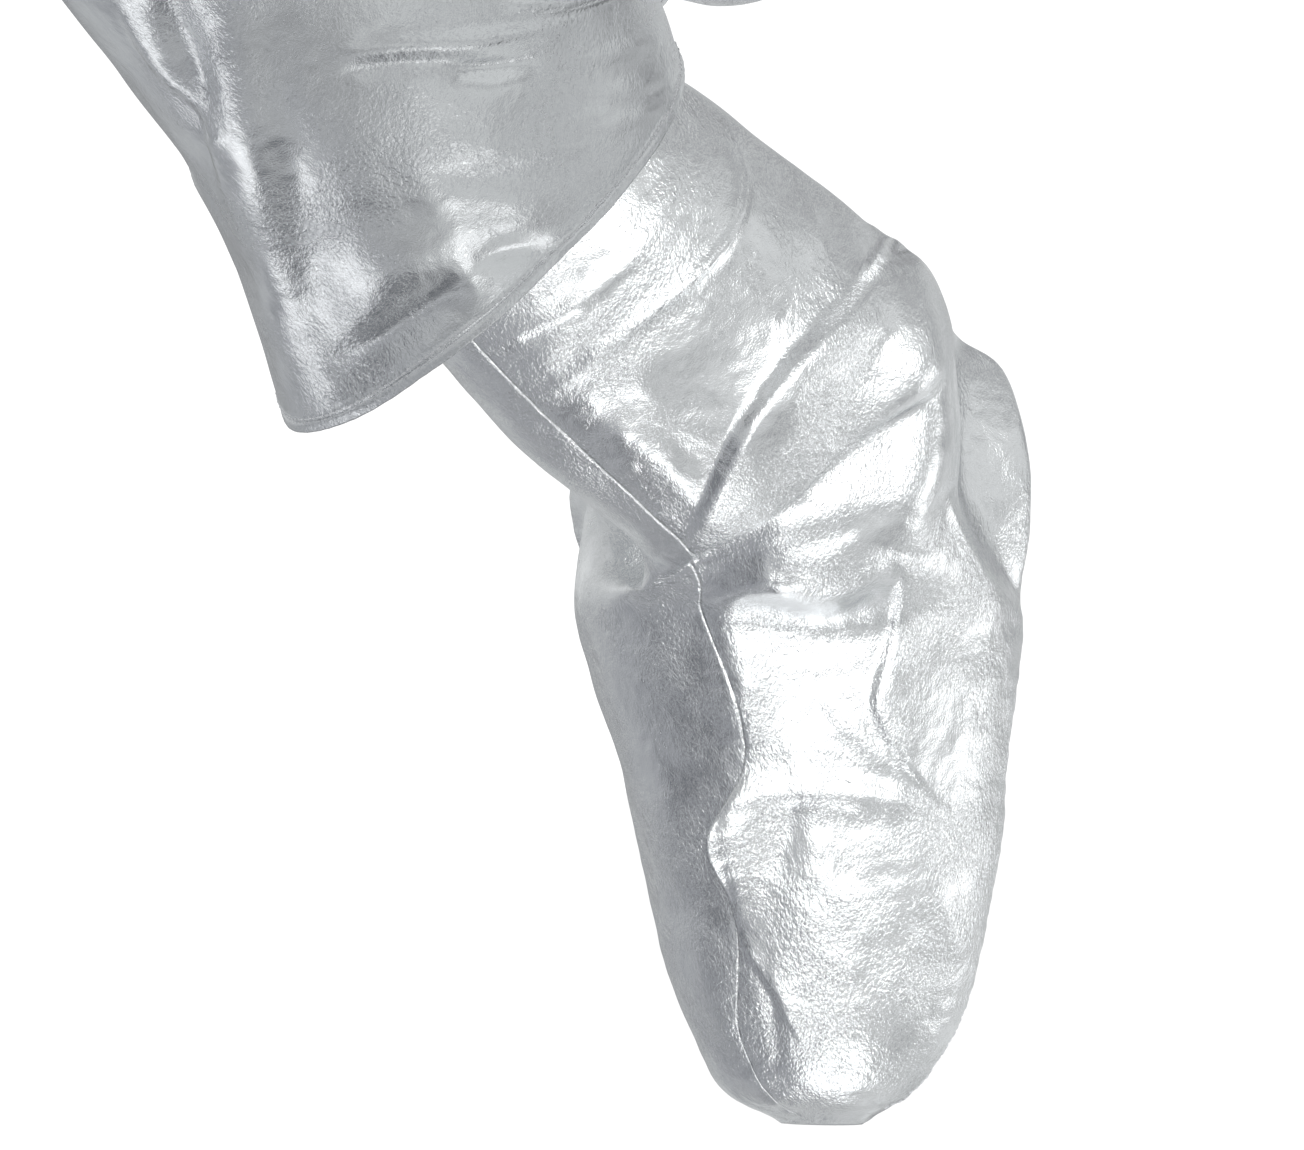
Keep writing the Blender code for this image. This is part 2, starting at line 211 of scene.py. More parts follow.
LEFT_ARM = [((238, 4, 428), 72, (0.80, 0.05, -0.60)), ((330, 20, 352), 69, (0.76, 0.12, -0.64)),
            ((412, 34, 262), 66, (0.72, -0.05, -0.69)), ((470, 8, 170), 62, (0.52, -0.42, -0.74)),
            ((506, -48, 92), 60, (0.36, -0.64, -0.68))]
RIGHT_ARM = [((238, -6, 432), 72, (0.84, -0.14, -0.52)), ((330, -34, 376), 69, (0.80, -0.32, -0.50)),
             ((410, -84, 324), 66, (0.70, -0.62, -0.34)), ((452, -160, 306), 62, (0.36, -0.92, 0.08)),
             ((470, -246, 328), 60, (0.16, -0.94, 0.30))]


def sleeve_rows(arm, count):
    """Rings of one sleeve on the left of the body."""
    angles = np.arange(count) * 360 / count
    rings = [around(armhole(1.2), count)]
    for centre, half, along in arm:
        along = unit(along)
        down = unit(np.array([0, 0, -1.0]) + along[2] * along)
        rings.append(sweep(centre, down, np.cross(down, along), half * 1.04, half * 0.94, angles))
    return rings


print("bodice panels have", len(bodice_rows(-1, 8)), "guide rows, sleeves", len(sleeve_rows(LEFT_ARM, 12)))

# %% [markdown]
# ## Rows of a leg
# Each leg is one piece: it starts as half a waist, wraps under the crotch and becomes a tube down a bent knee
# to a flared hem. The lower leg is a stack of slanting rings. The right one is the left one's mirror image,
# laid on the trailing leg's own axes.

# %% Lower leg and leg axes
SIDE_ANGLE = 48.5
LEFT_ANKLE = np.array([66.0, 0.0, 42.0])
LEFT_KNEE = np.array([-165.0, -200.0, 295.0])
RIGHT_KNEE = np.array([-122.0, 321.0, 303.0])
RIGHT_SHIN = unit((0.055, 0.90, 0.146))


def outline_ring(left, right, depth, half, tilt, angles):
    """A slanting ring of the left lower leg between two outline points (x, z), its near side swung down."""
    a, b = np.array([left[0], depth, left[1]], float), np.array([right[0], depth, right[1]], float)
    along = (b - a) / 2
    across = unit(along)
    near = np.array([across[2] * sin(radians(tilt)), -cos(radians(tilt)), -across[0] * sin(radians(tilt))])
    t = np.radians(angles)[:, None]
    return (a + b) / 2 + np.cos(t) * along + np.sin(t) * half * near


def limb_axes(hip, knee, shin, left):
    """Directions of a bent leg: down the shin, to its outer side and to its front."""
    up_thigh = unit(hip - knee)
    front = -unit(up_thigh - up_thigh @ shin * shin)
    outer = np.cross(front, shin) if left else np.cross(shin, front)
    return shin, outer, front


LEFT_HIP = HIPS + BODY @ np.array([85.0, 0, 0])
RIGHT_HIP = HIPS + BODY @ np.array([-85.0, 0, 0])
LEFT_AXES = limb_axes(LEFT_HIP, LEFT_KNEE, unit(LEFT_ANKLE - LEFT_KNEE), True)
RIGHT_AXES = limb_axes(RIGHT_HIP, RIGHT_KNEE, RIGHT_SHIN, False)


def to_right(points):
    """Points of the left lower leg moved onto the right one, mirrored from side to side."""
    local = (np.asarray(points) - LEFT_KNEE) @ np.array(LEFT_AXES).T
    return local @ np.array(RIGHT_AXES) + RIGHT_KNEE


def from_right(points):
    """The reverse of to_right."""
    local = (np.asarray(points) - RIGHT_KNEE) @ np.array(RIGHT_AXES).T
    return local @ np.array(LEFT_AXES) + LEFT_KNEE


print("left shin", LEFT_AXES[0].round(2), "right shin", RIGHT_AXES[0].round(2))

# %% Leg rows


def lower_leg_rings(angles):
    """Rings of the left trouser leg from under the knee to the hem."""
    rings = [((-196, 185), (-42, 286), -168, 84, 14), ((-168, 146), (-22, 257), -146, 82, 17),
             ((-149, 103), (-2, 227), -112, 82, 20), ((-137, 58), (10, 199), -84, 82, 20)]
    return [outline_ring(*ring, angles + SIDE_ANGLE) for ring in rings]


def leg_rows(left, count):
    """Rows of one leg from the waist to the hem, from the centre front round the outer side to the back."""
    flip = 1 if left else -1
    hip, knee = (LEFT_HIP, LEFT_KNEE) if left else (RIGHT_HIP, RIGHT_KNEE)
    shin, outer, front = LEFT_AXES if left else RIGHT_AXES
    x, y, z = np.eye(3)
    half = 90 - 180 * np.linspace(0, 1, count)
    rows = [from_body(sweep((0, 0, WAIST_Z - SEAM / 2), x, -y, *WAIST, half) * (flip, 1, 1)),
            from_body(sweep((0, 0, HIP_Z), x, -y, *HIP, half) * (flip, 1, 1))]
    wrap = 124 - 248 * np.linspace(0, 1, count)
    rows.append(from_body(sweep((62, 0, -30), x, -y, 118, 128, wrap) * (flip, 1, 1)))
    ring = 180 - 360 * np.linspace(0.0005, 0.9995, count)
    thigh = unit(knee - hip)
    body_side = BODY @ np.array([flip, 0, 0])
    stages = [(0.20, 0.2, 96, 122), (0.42, 0.5, 95, 110), (0.66, 0.8, 92, 102), (0.86, 1.0, 89, 97)]
    for down, blend, half_side, half_front in stages:
        side = unit(body_side * (1 - blend) + outer * blend)
        side = unit(side - side @ thigh * thigh)
        ahead = -np.cross(side, thigh) * flip
        ahead = ahead * np.sign(ahead @ front + ahead @ -y)
        centre = hip + (knee - hip) * down
        rows.append(sweep(centre, side, ahead, half_side, half_front, ring))
    bisector = unit(thigh + shin)
    ahead = unit(front - front @ bisector * bisector)
    rows.append(sweep(knee + 6 * bisector - 6 * ahead, outer, ahead, 88, 95, ring))
    lower = lower_leg_rings(ring)
    rows += lower if left else [to_right(row) for row in lower]
    return rows


def parted(grid, left):
    """A leg's grid kept to its own side of the crotch seam. The limit fades out down the thigh."""
    side = BODY @ np.array([1 if left else -1, 0, 0])
    gap = SEAM / 2 + 0.9 * np.clip((660 - grid[..., 2]) / 30, 0, 1)
    over = np.minimum((grid - HIPS) @ side - gap, 0)
    fade = np.clip((grid[..., 2] - 420) / 60, 0, 1)
    return grid - (over * fade)[..., None] * side


print("leg has", len(leg_rows(True, 8)), "guide rows")

# %% [markdown]
# ## Rows of a boot cover
# A boot cover is two side panels. Their rows run down the shaft, fan round the heel and arch over the foot to
# the toe, and each one ends turned under the sole, where an elastic holds it.

# %% Boot rows
FRONT_SEAM = 145          # where the front seam lies round the shaft, in degrees
UNDER = 26                # how far a foot row turns under the sole, in degrees


def on_sole(x, z):
    """The point of the left sole's plane seen at (x, z)."""
    y = SOLE_BACK - (SOLE_UP[0] * (x - 60) + SOLE_UP[2] * (z + 60)) / SOLE_UP[1]
    return np.array([x, y, z])


def shaft_rows(outer, count):
    """Half rings of the left shaft from its top to the ankle, from the front seam to the back seam."""
    rings = [((-108, 116), (-24, 204), -100, 58), ((-78, 79), (18, 184), -76, 62),
             ((-50, 48), (47, 163), -54, 60), ((-25, 28), (82, 137), -32, 58), ((-6, 12), (106, 115), -14, 56)]
    turn = -180 if outer else 180
    rows = []
    trim = np.degrees(BOOT_SEAM / 2 / 60)
    for left, right, depth, half in rings:
        sweep_angles = FRONT_SEAM + np.sign(turn) * np.linspace(trim, 180 - trim, count)
        rows.append(outline_ring(left, right, depth, half, 30, sweep_angles))
    return rows


def through(points, count):
    """`count` points evenly along the smooth curve through a few guide points, its ends trimmed for the seam."""
    points = np.array(points, dtype=float)
    at = np.concatenate(([0.0], np.cumsum(np.linalg.norm(np.diff(points, axis=0), axis=1))))
    return hermite(points, at, np.linspace(BOOT_SEAM / 2, at[-1] - BOOT_SEAM / 2, count))


def heel_rows(outer, count):
    """Rows that fan round the heel from the ankle to the instep. The last point of each is under the sole."""
    seam = [(15, -24, 5), (17, -21, 2), (19, -16, -2), (20, -10, -6)]
    if outer:
        over = [[(48, -50, 24), (88, -42, 56), (117, -4, 88), (112, 30, 94)],
                [(52, -47, 14), (92, -36, 34), (118, 0, 56), (113, 30, 64)],
                [(55, -41, 4), (94, -28, 16), (118, 4, 28), (120, 32, 33)],
                [(56, -33, -5), (93, -20, 0), (122, 12, 8), (131, 40, 10)]]
        rim = [(120, 92), (138, 80), (147, 52), (150, 22)]
    else:
        over = [[(-4, 2, -6), (16, 42, 12), (60, 58, 52), (98, 48, 84)],
                [(-6, 6, -6), (4, 48, 8), (28, 78, 44), (54, 84, 84)],
                [(-7, 10, -6), (-8, 46, 4), (-6, 84, 34), (4, 100, 74)],
                [(-6, 12, -8), (-18, 44, 0), (-27, 80, 14), (-30, 104, 36)]]
        rim = [(102, 97), (52, 104), (-4, 88), (-39, 42)]
    middle = on_sole(60, 20)
    rows = []
    for i in range(4):
        edge = on_sole(*rim[i])
        under = edge + 9 * unit(middle - edge) * (i + 1) / 4 - 3 * SOLE_UP
        rows.append(through([seam[i], *over[i], edge, under], count))
    return rows


def foot_rows(outer, count):
    """Arched rows over the left foot from the instep to the toe, from the front seam to under the sole."""
    stations = [((-24, -8), (147, -10), 104, 94), ((-18, -39), (145, -41), 96, 88), ((-6, -77), (141, -77), 86, 90),
                ((1, -113), (138, -111), 76, 98), ((8, -149), (131, -147), 66, 102),
                ((19, -181), (121, -181), 53, 110), ((31, -206), (105, -206), 36, 104),
                ((52, -220), (84, -220), 6, 92)]
    rows = []
    for i, (left, right, height, seam) in enumerate(stations):
        a, b = on_sole(*left), on_sole(*right)
        half = (b - a) / 2
        trim = np.degrees(BOOT_SEAM / 2 / 70)
        under = UNDER if i < len(stations) - 1 else 4
        angles = np.linspace(seam - trim, -under, count) if outer \
            else np.linspace(seam + trim, 180 + under, count)
        t = np.radians(angles)[:, None]
        lift = np.where(np.sin(t) > 0, height * np.sin(t), 10 * np.sin(t))
        rows.append((a + b) / 2 + np.cos(t) * half + lift * SOLE_UP)
    return rows


print("boot panel has", len(shaft_rows(True, 8) + heel_rows(True, 8) + foot_rows(True, 8)), "guide rows")

# %% [markdown]
# ## Folds
# Foil cloth keeps every fold it is given, and each fold is a bright or a dark line. A fold is drawn as a short
# smooth path with a width and a height in millimetres, and it dies out at both ends. "ridge" is a soft roll,
# "crest" has a sharp top, and "lip" drops steeply to the right of its path, like a layer that lies on
# another. A negative height makes a trough. Sculpting by hand would also work, but a path can be measured and
# moved.

# %% Draw folds
KINDS = {"ridge": lambda d, side, w: np.exp(-(d / w)**2),
         "crest": lambda d, side, w: np.exp(-(np.sqrt(d**2 + 0.36) - 0.6) / w),
         "lip": lambda d, side, w: np.exp(-(d / np.where(side > 0, 0.3 * w, 1.8 * w))**2)}


def fold_heights(chart, folds):
    """Height at each chart point of all the folds, each given as (path, width, height, kind)."""
    flat = chart.reshape(-1, 2)
    total = np.zeros(len(flat))
    for path, width, height, kind in folds:
        line = loft(np.array(path, dtype=float)[:, None, :], 20)[:, 0]
        reach = 4 * width
        near = np.all((flat > line.min(0) - reach) & (flat < line.max(0) + reach), axis=1)
        if not near.any():
            continue
        start, step = line[:-1], np.diff(line, axis=0)
        rel = flat[near][:, None] - start
        t = np.clip((rel * step).sum(2) / (step**2).sum(1), 0, 1)
        off = rel - t[..., None] * step
        dist = np.linalg.norm(off, axis=2)
        k = dist.argmin(axis=1)
        pick = np.arange(len(k))
        along = (k + t[pick, k]) / len(step)
        side = rel[pick, k, 0] * step[k, 1] - rel[pick, k, 1] * step[k, 0]
        total[near] += height * KINDS[kind](dist[pick, k], side, width) * np.sin(np.pi * along)**0.7
    return total.reshape(chart.shape[:-1])


def flat_chart(size, down, columns):
    """The (across, down) place in millimetres of each grid point on a piece's own cut. `down` is in fractions."""
    return np.stack(np.meshgrid(np.linspace(0, size[0], columns), down * size[1]), axis=-1)


def lattice_noise(points, size, seed):
    """Smooth noise from -1 to 1 whose bumps are about `size` millimetres wide."""
    q = np.asarray(points) / size + seed * 17.3
    base = np.floor(q).astype(np.int64)
    t = q - base
    t = t * t * (3 - 2 * t)
    total = 0
    for corner in np.ndindex(2, 2, 2):
        cell = base + corner
        mixed = (cell[..., 0] * 73856093) ^ (cell[..., 1] * 19349663) ^ (cell[..., 2] * 83492791)
        value = (np.sin((mixed & 0xFFFF) * 0.37 + seed) * 43758.5453) % 2 - 1
        weight = np.prod(np.where(np.array(corner) == 1, t, 1 - t), axis=-1)
        total = total + value * weight
    return total


print("fold kinds:", ", ".join(KINDS))

# %% [markdown]
# ## Cloth pieces
# A piece starts as a grid of points. Its normals tell which way is out, folds move it along them, and then it
# gets a wall and closed edges, so it prints and shades as real cloth. Solidify would do the same, but here
# the wall can be thicker where a hem is folded double. The UV map is in metres along the cloth.

# %% Normals and seams


def grid_normals(grid, tube):
    """Unit normals of a grid that point away from the row's middle."""
    if tube:
        across = np.roll(grid, -1, axis=1) - np.roll(grid, 1, axis=1)
    else:
        across = np.gradient(grid, axis=1)
    normal = np.cross(across, np.gradient(grid, axis=0))
    normal /= np.maximum(np.linalg.norm(normal, axis=2, keepdims=True), 1e-9)
    return normal


def along_cloth(grid):
    """Distances over the cloth from the first column and from the first row, in millimetres."""
    across = np.linalg.norm(np.diff(grid, axis=1), axis=2)
    down = np.linalg.norm(np.diff(grid, axis=0), axis=2)
    u = np.concatenate([np.zeros((len(grid), 1)), np.cumsum(across, axis=1)], axis=1)
    v = np.concatenate([np.zeros((1, grid.shape[1])), np.cumsum(down, axis=0)], axis=0)
    return u, v


def seam_heights(grid, edges, pull=0.9):
    """The dip and the small gathers that a seam's thread pulls into the cloth beside it."""
    u, v = along_cloth(grid)
    far = {"first": (u, v), "last": (u[:, -1:] - u, v), "top": (v, u), "end": (v[-1:] - v, u)}
    height = np.zeros(u.shape)
    for edge in edges:
        away, along = far[edge]
        wobble = np.sin(along / 1.9 + 1.7 * np.sin(along / 13.0)) * np.sin(along / 5.3 + 0.8)
        height += -pull * np.exp(-(away / 2.2)**2) + 0.42 * wobble * np.exp(-away / 6.5) * (away > 0.4)
    return height


print("seam edges are named first, last, top and end")

# %% Build a shell
SUIT_SLOT, BOOT_SLOT = "suit_cloth", "boot_cloth"
made = {}


def shell_mesh(name, grid, normal, wall, tube):
    """A closed mesh: the grid moved out and in by half the wall, joined round its open edges."""
    rows, columns = grid.shape[:2]
    half = (np.broadcast_to(wall, grid.shape[:2]) / 2)[..., None] * normal
    points = metres(np.concatenate([(grid + half).reshape(-1, 3), (grid - half).reshape(-1, 3)]))
    index = np.arange(rows * columns).reshape(rows, columns)
    if tube:
        index = np.concatenate([index, index[:, :1]], axis=1)
    quads = np.stack([index[:-1, :-1], index[:-1, 1:], index[1:, 1:], index[1:, :-1]], axis=-1).reshape(-1, 4)
    inner = quads[:, ::-1] + rows * columns
    rims = [index[0], index[-1][::-1]]
    if not tube:
        rims += [index[::-1, 0], index[:, -1]]
    walls = [np.stack([rim[1:], rim[:-1], rim[:-1] + rows * columns, rim[1:] + rows * columns], axis=-1)
             for rim in rims]
    faces = np.concatenate([quads, inner, *walls])
    mesh = bpy.data.meshes.new(name)
    mesh.from_pydata(points.tolist(), [], faces.tolist())
    u, v = along_cloth(grid)
    flat = np.stack([u, v], axis=-1).reshape(-1, 2) * MM
    uv = np.concatenate([flat, flat])[faces.reshape(-1)]
    mesh.uv_layers.new(name="UVMap").data.foreach_set("uv", uv.astype(np.float32).reshape(-1))
    mesh.shade_smooth()
    return mesh


def cloth(name, grid, material, slot, wall=CLOTH, tube=False, out=1):
    """A finished piece of cloth that stands for the frame's node of the same name."""
    normal = grid_normals(grid, tube) * out
    if out < 0:
        grid, normal = grid[:, ::-1], normal[:, ::-1]
        wall = np.broadcast_to(wall, grid.shape[:2])[:, ::-1]
    mesh = shell_mesh(name + "_shell", grid, normal, wall, tube)
    mesh.materials.append(material)
    piece = bpy.data.objects.new(name + "_cloth", mesh)
    bpy.context.scene.collection.objects.link(piece)
    across = np.linalg.norm(np.diff(grid, axis=1), axis=2)
    down = np.linalg.norm(np.diff(grid, axis=0), axis=2)
    area = (0.25 * (across[:-1] + across[1:]) * (down[:, :-1] + down[:, 1:])).sum() * MM * MM
    wide, long = across.sum(axis=1).max() * MM, down.sum(axis=0).max() * MM
    if tube:
        closing = np.linalg.norm(grid[:, 0] - grid[:, -1], axis=1)
        wide += closing.max() * MM
        area += (0.25 * (closing[:-1] + closing[1:]) * (down[:, 0] + down[:, -1])).sum() * MM * MM
    made[name] = {"object": piece, "slot": slot, "flat": (wide, long), "area": area, "grid": grid,
                  "normal": normal}
    print(f"{name}: {len(mesh.polygons) * 2} triangles, cut {wide * 1000:.0f} x {long * 1000:.0f} mm, "
          f"{area:.3f} square metres")
    return piece


def outward(grid, tube):
    """1 if the grid's normals point away from the middle of its rows, else -1."""
    middle = grid.mean(axis=1) if tube else (grid[:, 0] + grid[:, -1]) / 2
    return 1 if (grid_normals(grid, tube) * (grid - middle[:, None])).sum() > 0 else -1


print("shell helpers ready")

# %% [markdown]
# ## Shader expressions
# A shader is easier to read as a sum than as a tangle of noodles. This small class wraps a socket, so that
# `0.3 + 0.1 * noise` adds its Math nodes by itself, and one method makes any other node.

# %% Wrap sockets


class Value:
    """A number socket that can be used in sums."""

    def __init__(self, tree, socket):
        self.tree, self.socket = tree, socket

    def _math(self, operation, first, second):
        node = self.tree.nodes.new("ShaderNodeMath")
        node.operation = operation
        for slot, item in zip(node.inputs, (first, second)):
            if isinstance(item, Value):
                self.tree.links.new(item.socket, slot)
            else:
                slot.default_value = item
        return Value(self.tree, node.outputs[0])

    def __add__(self, other):
        return self._math("ADD", self, other)

    __radd__ = __add__

    def __mul__(self, other):
        return self._math("MULTIPLY", self, other)

    __rmul__ = __mul__

    def __sub__(self, other):
        return self._math("SUBTRACT", self, other)

    def __rsub__(self, other):
        return self._math("SUBTRACT", other, self)

    def above(self, other):
        """1 where the value is greater than the other."""
        return self._math("GREATER_THAN", self, other)


class Finish:
    """A material whose nodes are made by name."""

    def __init__(self, name):
        self.material = bpy.data.materials.new(name)
        self.material.use_nodes = True
        self.tree = self.material.node_tree
        self.shader = self.tree.nodes["Principled BSDF"]

    def node(self, kind, settings=(), inputs=(), output=0):
        """A node of that kind. Settings are set first, and inputs are values or links."""
        node = self.tree.nodes.new("ShaderNode" + kind)
        for key, value in dict(settings).items():
            setattr(node, key, value)
        for key, value in dict(inputs).items():
            self.feed(node.inputs[key], value)
        return Value(self.tree, node.outputs[output])

    def feed(self, slot, value):
        """A value or a link into a socket."""
        if isinstance(value, Value):
            self.tree.links.new(value.socket, slot)
        else:
            slot.default_value = value

    def set(self, **values):
        """Sockets of the surface shader, with _ for a space."""
        for key, value in values.items():
            self.feed(self.shader.inputs[key.replace("_", " ")], value)


print("shader helpers ready")

# %% [markdown]
# ## Foil cloth
# Lamé is a fine knit with a metal film bonded to it. The film reflects like satin metal, and the knit under it
# breaks up into crinkles one to three millimetres across, with tiny facets that flash. So the finish is a
# metal whose roughness varies a little, over several sizes of bump: soft waves, crinkles and creases that run
# slightly along the cloth, a fine grain, and sparkling facets. The crinkles come and go in patches.

# %% Mix the foil finishes


def foil(name, colour, shade, roughness, crinkle):
    """Foil-coated cloth with crinkles and sparkles."""
    finish = Finish(name)
    coords = finish.node("TexCoord", output=3)
    stretch = finish.node("Mapping", {}, {"Vector": coords, "Rotation": (0.0, -0.5, 0.0),
                                          "Scale": (1.0, 1.0, 0.62)})
    waves = finish.node("TexNoise", {}, {"Vector": coords, "Scale": 60.0, "Detail": 2.0})
    crinkles = finish.node("TexNoise", {}, {"Vector": stretch, "Scale": 740.0, "Detail": 2.5,
                                            "Roughness": 0.55, "Distortion": 0.4})
    creases = finish.node("TexNoise", {"noise_type": "RIDGED_MULTIFRACTAL"},
                          {"Vector": stretch, "Scale": 150.0, "Detail": 2.0})
    grain = finish.node("TexNoise", {}, {"Vector": coords, "Scale": 1500.0, "Detail": 1.0})
    facets = finish.node("TexVoronoi", {}, {"Vector": coords, "Scale": 900.0}, output=1)
    facet = finish.node("SeparateColor", {}, {"Color": facets})
    flash = facet.above(0.9)
    patches = finish.node("TexNoise", {}, {"Vector": coords, "Scale": 26.0, "Detail": 3.0})
    lively = finish.node("MapRange", {}, {"Value": patches, "From Min": 0.38, "From Max": 0.62,
                                          "To Min": 0.10, "To Max": 1.0})
    height = (1.3 * waves + 0.62 * (crinkles * lively) + 0.05 * (creases * lively) + 0.09 * grain
              + 0.16 * (flash * facet))
    bump = finish.node("Bump", {}, {"Height": height, "Distance": crinkle, "Strength": 1.0})
    base = finish.node("Mix", {"data_type": "RGBA"}, {6: (*colour, 1), 7: (*shade, 1), 0: patches}, output=2)
    finish.set(Base_Color=base, Metallic=1.0, Normal=bump,
               Roughness=roughness + 0.12 * patches - 0.08 * flash)
    return finish.material


SUIT_FOIL = foil("suit_foil", (0.84, 0.855, 0.86), (0.72, 0.735, 0.75), 0.20, 0.0008)
BOOT_FOIL = foil("boot_foil", (0.92, 0.93, 0.935), (0.83, 0.845, 0.855), 0.19, 0.0013)


def thread_finish():
    """Bright grey polyester thread."""
    finish = Finish("silver_thread")
    coords = finish.node("TexCoord", output=3)
    twist = finish.node("TexWave", {}, {"Vector": coords, "Scale": 900.0, "Distortion": 1.0})
    bump = finish.node("Bump", {}, {"Height": twist, "Distance": 0.0002})
    finish.set(Base_Color=(0.80, 0.81, 0.83, 1), Metallic=0.6, Roughness=0.3 + 0.15 * twist, Normal=bump)
    return finish.material


THREAD = thread_finish()
print("finishes:", SUIT_FOIL.name, BOOT_FOIL.name, THREAD.name)

# %% [markdown]
# ## Trouser legs
# The lower leg flares to a narrow rolled hem. It hangs open round the boot cover, with a broad soft column
# down its front edge, drag lines from the back of the knee, and a few pinches. The folds of the lower leg are
# drawn on the flat view of the leg from its outer side, because that is how a costume maker judges them.

# %% Folds of the lower leg
LOWER_FOLDS = [
    ([(-124, 203), (-98, 207), (-71, 208), (-44, 213), (-18, 221)], 3.2, 3.6, "crest"),
    ([(-120, 196), (-90, 199), (-62, 198)], 3.0, -2.2, "ridge"),
    ([(-82, 195), (-63, 197), (-42, 201)], 4.0, -3.6, "ridge"),
    ([(-58, 221), (-36, 222), (-12, 228)], 3.4, 5.0, "lip"),
    ([(-32, 199), (-12, 205), (7, 212)], 3.2, 1.1, "ridge"),
    ([(-30, 184), (-6, 190), (11, 198)], 3.6, 1.1, "ridge"),
    ([(-20, 176), (0, 182), (12, 190)], 3.2, 0.9, "ridge"),
    ([(-98, 168), (-86, 152), (-59, 147), (-24, 157), (8, 184)], 5.4, 1.8, "ridge"),
    ([(-96, 150), (-71, 138), (-36, 143), (4, 172)], 5.8, 1.6, "ridge"),
    ([(-82, 172), (-51, 165), (-20, 173), (9, 190)], 4.6, 1.4, "ridge"),
    ([(-60, 128), (-30, 136), (0, 158)], 4.0, 1.4, "ridge"),
    ([(-165, 232), (-160, 185), (-151, 146), (-142, 96), (-136, 48)], 11.0, 5.5, "ridge"),
    ([(-148, 178), (-141, 142), (-131, 108), (-118, 70)], 9.0, -2.0, "ridge"),
    ([(-150, 180), (-144, 172), (-137, 165)], 2.6, 0.5, "crest"),
    ([(-154, 167), (-146, 173), (-138, 176)], 2.6, 0.4, "crest"),
    ([(-208, 222), (-194, 201), (-182, 188), (-174, 180), (-168, 163), (-158, 128)], 5.0, 3.4, "lip"),
    ([(-192, 232), (-180, 200), (-170, 172)], 7.0, -4.6, "ridge"),
    ([(-126, 78), (-100, 94), (-72, 114)], 9.0, -5.5, "ridge"),
    ([(-70, 122), (-54, 128), (-40, 130)], 4.0, -1.6, "ridge"),
    ([(-118, 120), (-96, 124), (-70, 138)], 12.0, 2.6, "ridge"),
    ([(-132, 66), (-112, 66), (-92, 76)], 5.0, 1.6, "ridge"),
]
UPPER_FOLDS = [
    ([(20, 170), (70, 200), (130, 192)], 6, 2.6, "ridge"), ([(16, 192), (80, 240), (150, 252)], 7, 3.0, "ridge"),
    ([(22, 150), (60, 160), (105, 146)], 5, 2.0, "crest"), ([(540, 170), (480, 210), (420, 205)], 6, 2.8, "ridge"),
    ([(545, 200), (470, 250), (400, 262)], 7, 3.0, "ridge"), ([(538, 150), (490, 160), (440, 148)], 5, 2.0, "crest"),
    ([(350, 560), (420, 586), (492, 560)], 6, 4.2, "crest"), ([(345, 594), (420, 614), (500, 592)], 6, 4.0, "crest"),
    ([(362, 532), (420, 550), (482, 528)], 6, 3.0, "crest"), ([(352, 578), (420, 600), (490, 577)], 5, -3.0, "ridge"),
    ([(100, 556), (140, 590), (182, 556)], 26, 4.0, "ridge"), ([(70, 540), (110, 610), (100, 660)], 8, 2.2, "ridge"),
    ([(210, 540), (180, 610), (190, 668)], 8, 2.4, "ridge"), ([(140, 262), (172, 380), (150, 500)], 11, 2.6, "ridge"),
    ([(236, 240), (250, 340), (220, 470)], 9, 2.4, "ridge"), ([(60, 300), (80, 400), (110, 500)], 9, -2.4, "ridge"),
    ([(300, 110), (318, 240), (296, 380)], 9, 2.2, "ridge"), ([(390, 300), (380, 400), (400, 500)], 10, 2.4, "ridge"),
    ([(470, 330), (450, 430), (430, 520)], 8, 2.0, "ridge"), ([(200, 60), (230, 120), (200, 190)], 8, 2.0, "ridge"),
    ([(330, 600), (300, 650), (320, 720)], 8, 2.2, "ridge"), ([(230, 590), (262, 612), (330, 604)], 6, 2.6, "crest"),
    ([(40, 10), (44, 42), (38, 80)], 5, 1.8, "ridge"), ([(92, 6), (88, 40), (96, 92)], 6, 2.0, "ridge"),
    ([(150, 8), (156, 44), (148, 74)], 5, 1.6, "ridge"), ([(214, 6), (208, 50), (216, 88)], 6, 2.0, "ridge"),
    ([(276, 8), (282, 44), (274, 96)], 6, 1.8, "ridge"), ([(336, 6), (330, 40), (338, 70)], 5, 1.6, "ridge"),
    ([(398, 8), (404, 50), (396, 94)], 6, 2.0, "ridge"), ([(460, 6), (454, 44), (462, 80)], 5, 1.8, "ridge"),
    ([(520, 8), (524, 44), (516, 70)], 5, 1.6, "ridge"),
]
LEG_CHART = (560.0, 850.0)
print(len(LOWER_FOLDS), "folds on the lower leg and", len(UPPER_FOLDS), "above it")

# %% Shape the legs


def outer_view(points):
    """The flat view of the left lower leg from its outer side, as (across, up)."""
    return points[..., [0, 2]] / (1 + points[..., 1:2] / 3532)


def seen(normal):
    """1 where a left-leg normal faces the outer side, fading to 0 round the edge."""
    return np.clip(0.5 - 3.0 * normal[..., 1], 0, 1)


def step_in(value, low, high):
    """0 below low, 1 above high, and smooth between."""
    t = np.clip((value - low) / (high - low), 0, 1)
    return t * t * (3 - 2 * t)


def leg_fractions(scale):
    """Where the leg's rows lie: closest at the hem."""
    return np.concatenate([np.linspace(0, 0.70, round(80 * scale), endpoint=False),
                           np.linspace(0.70, 0.97, round(125 * scale), endpoint=False),
                           np.linspace(0.97, 1, round(42 * scale))])


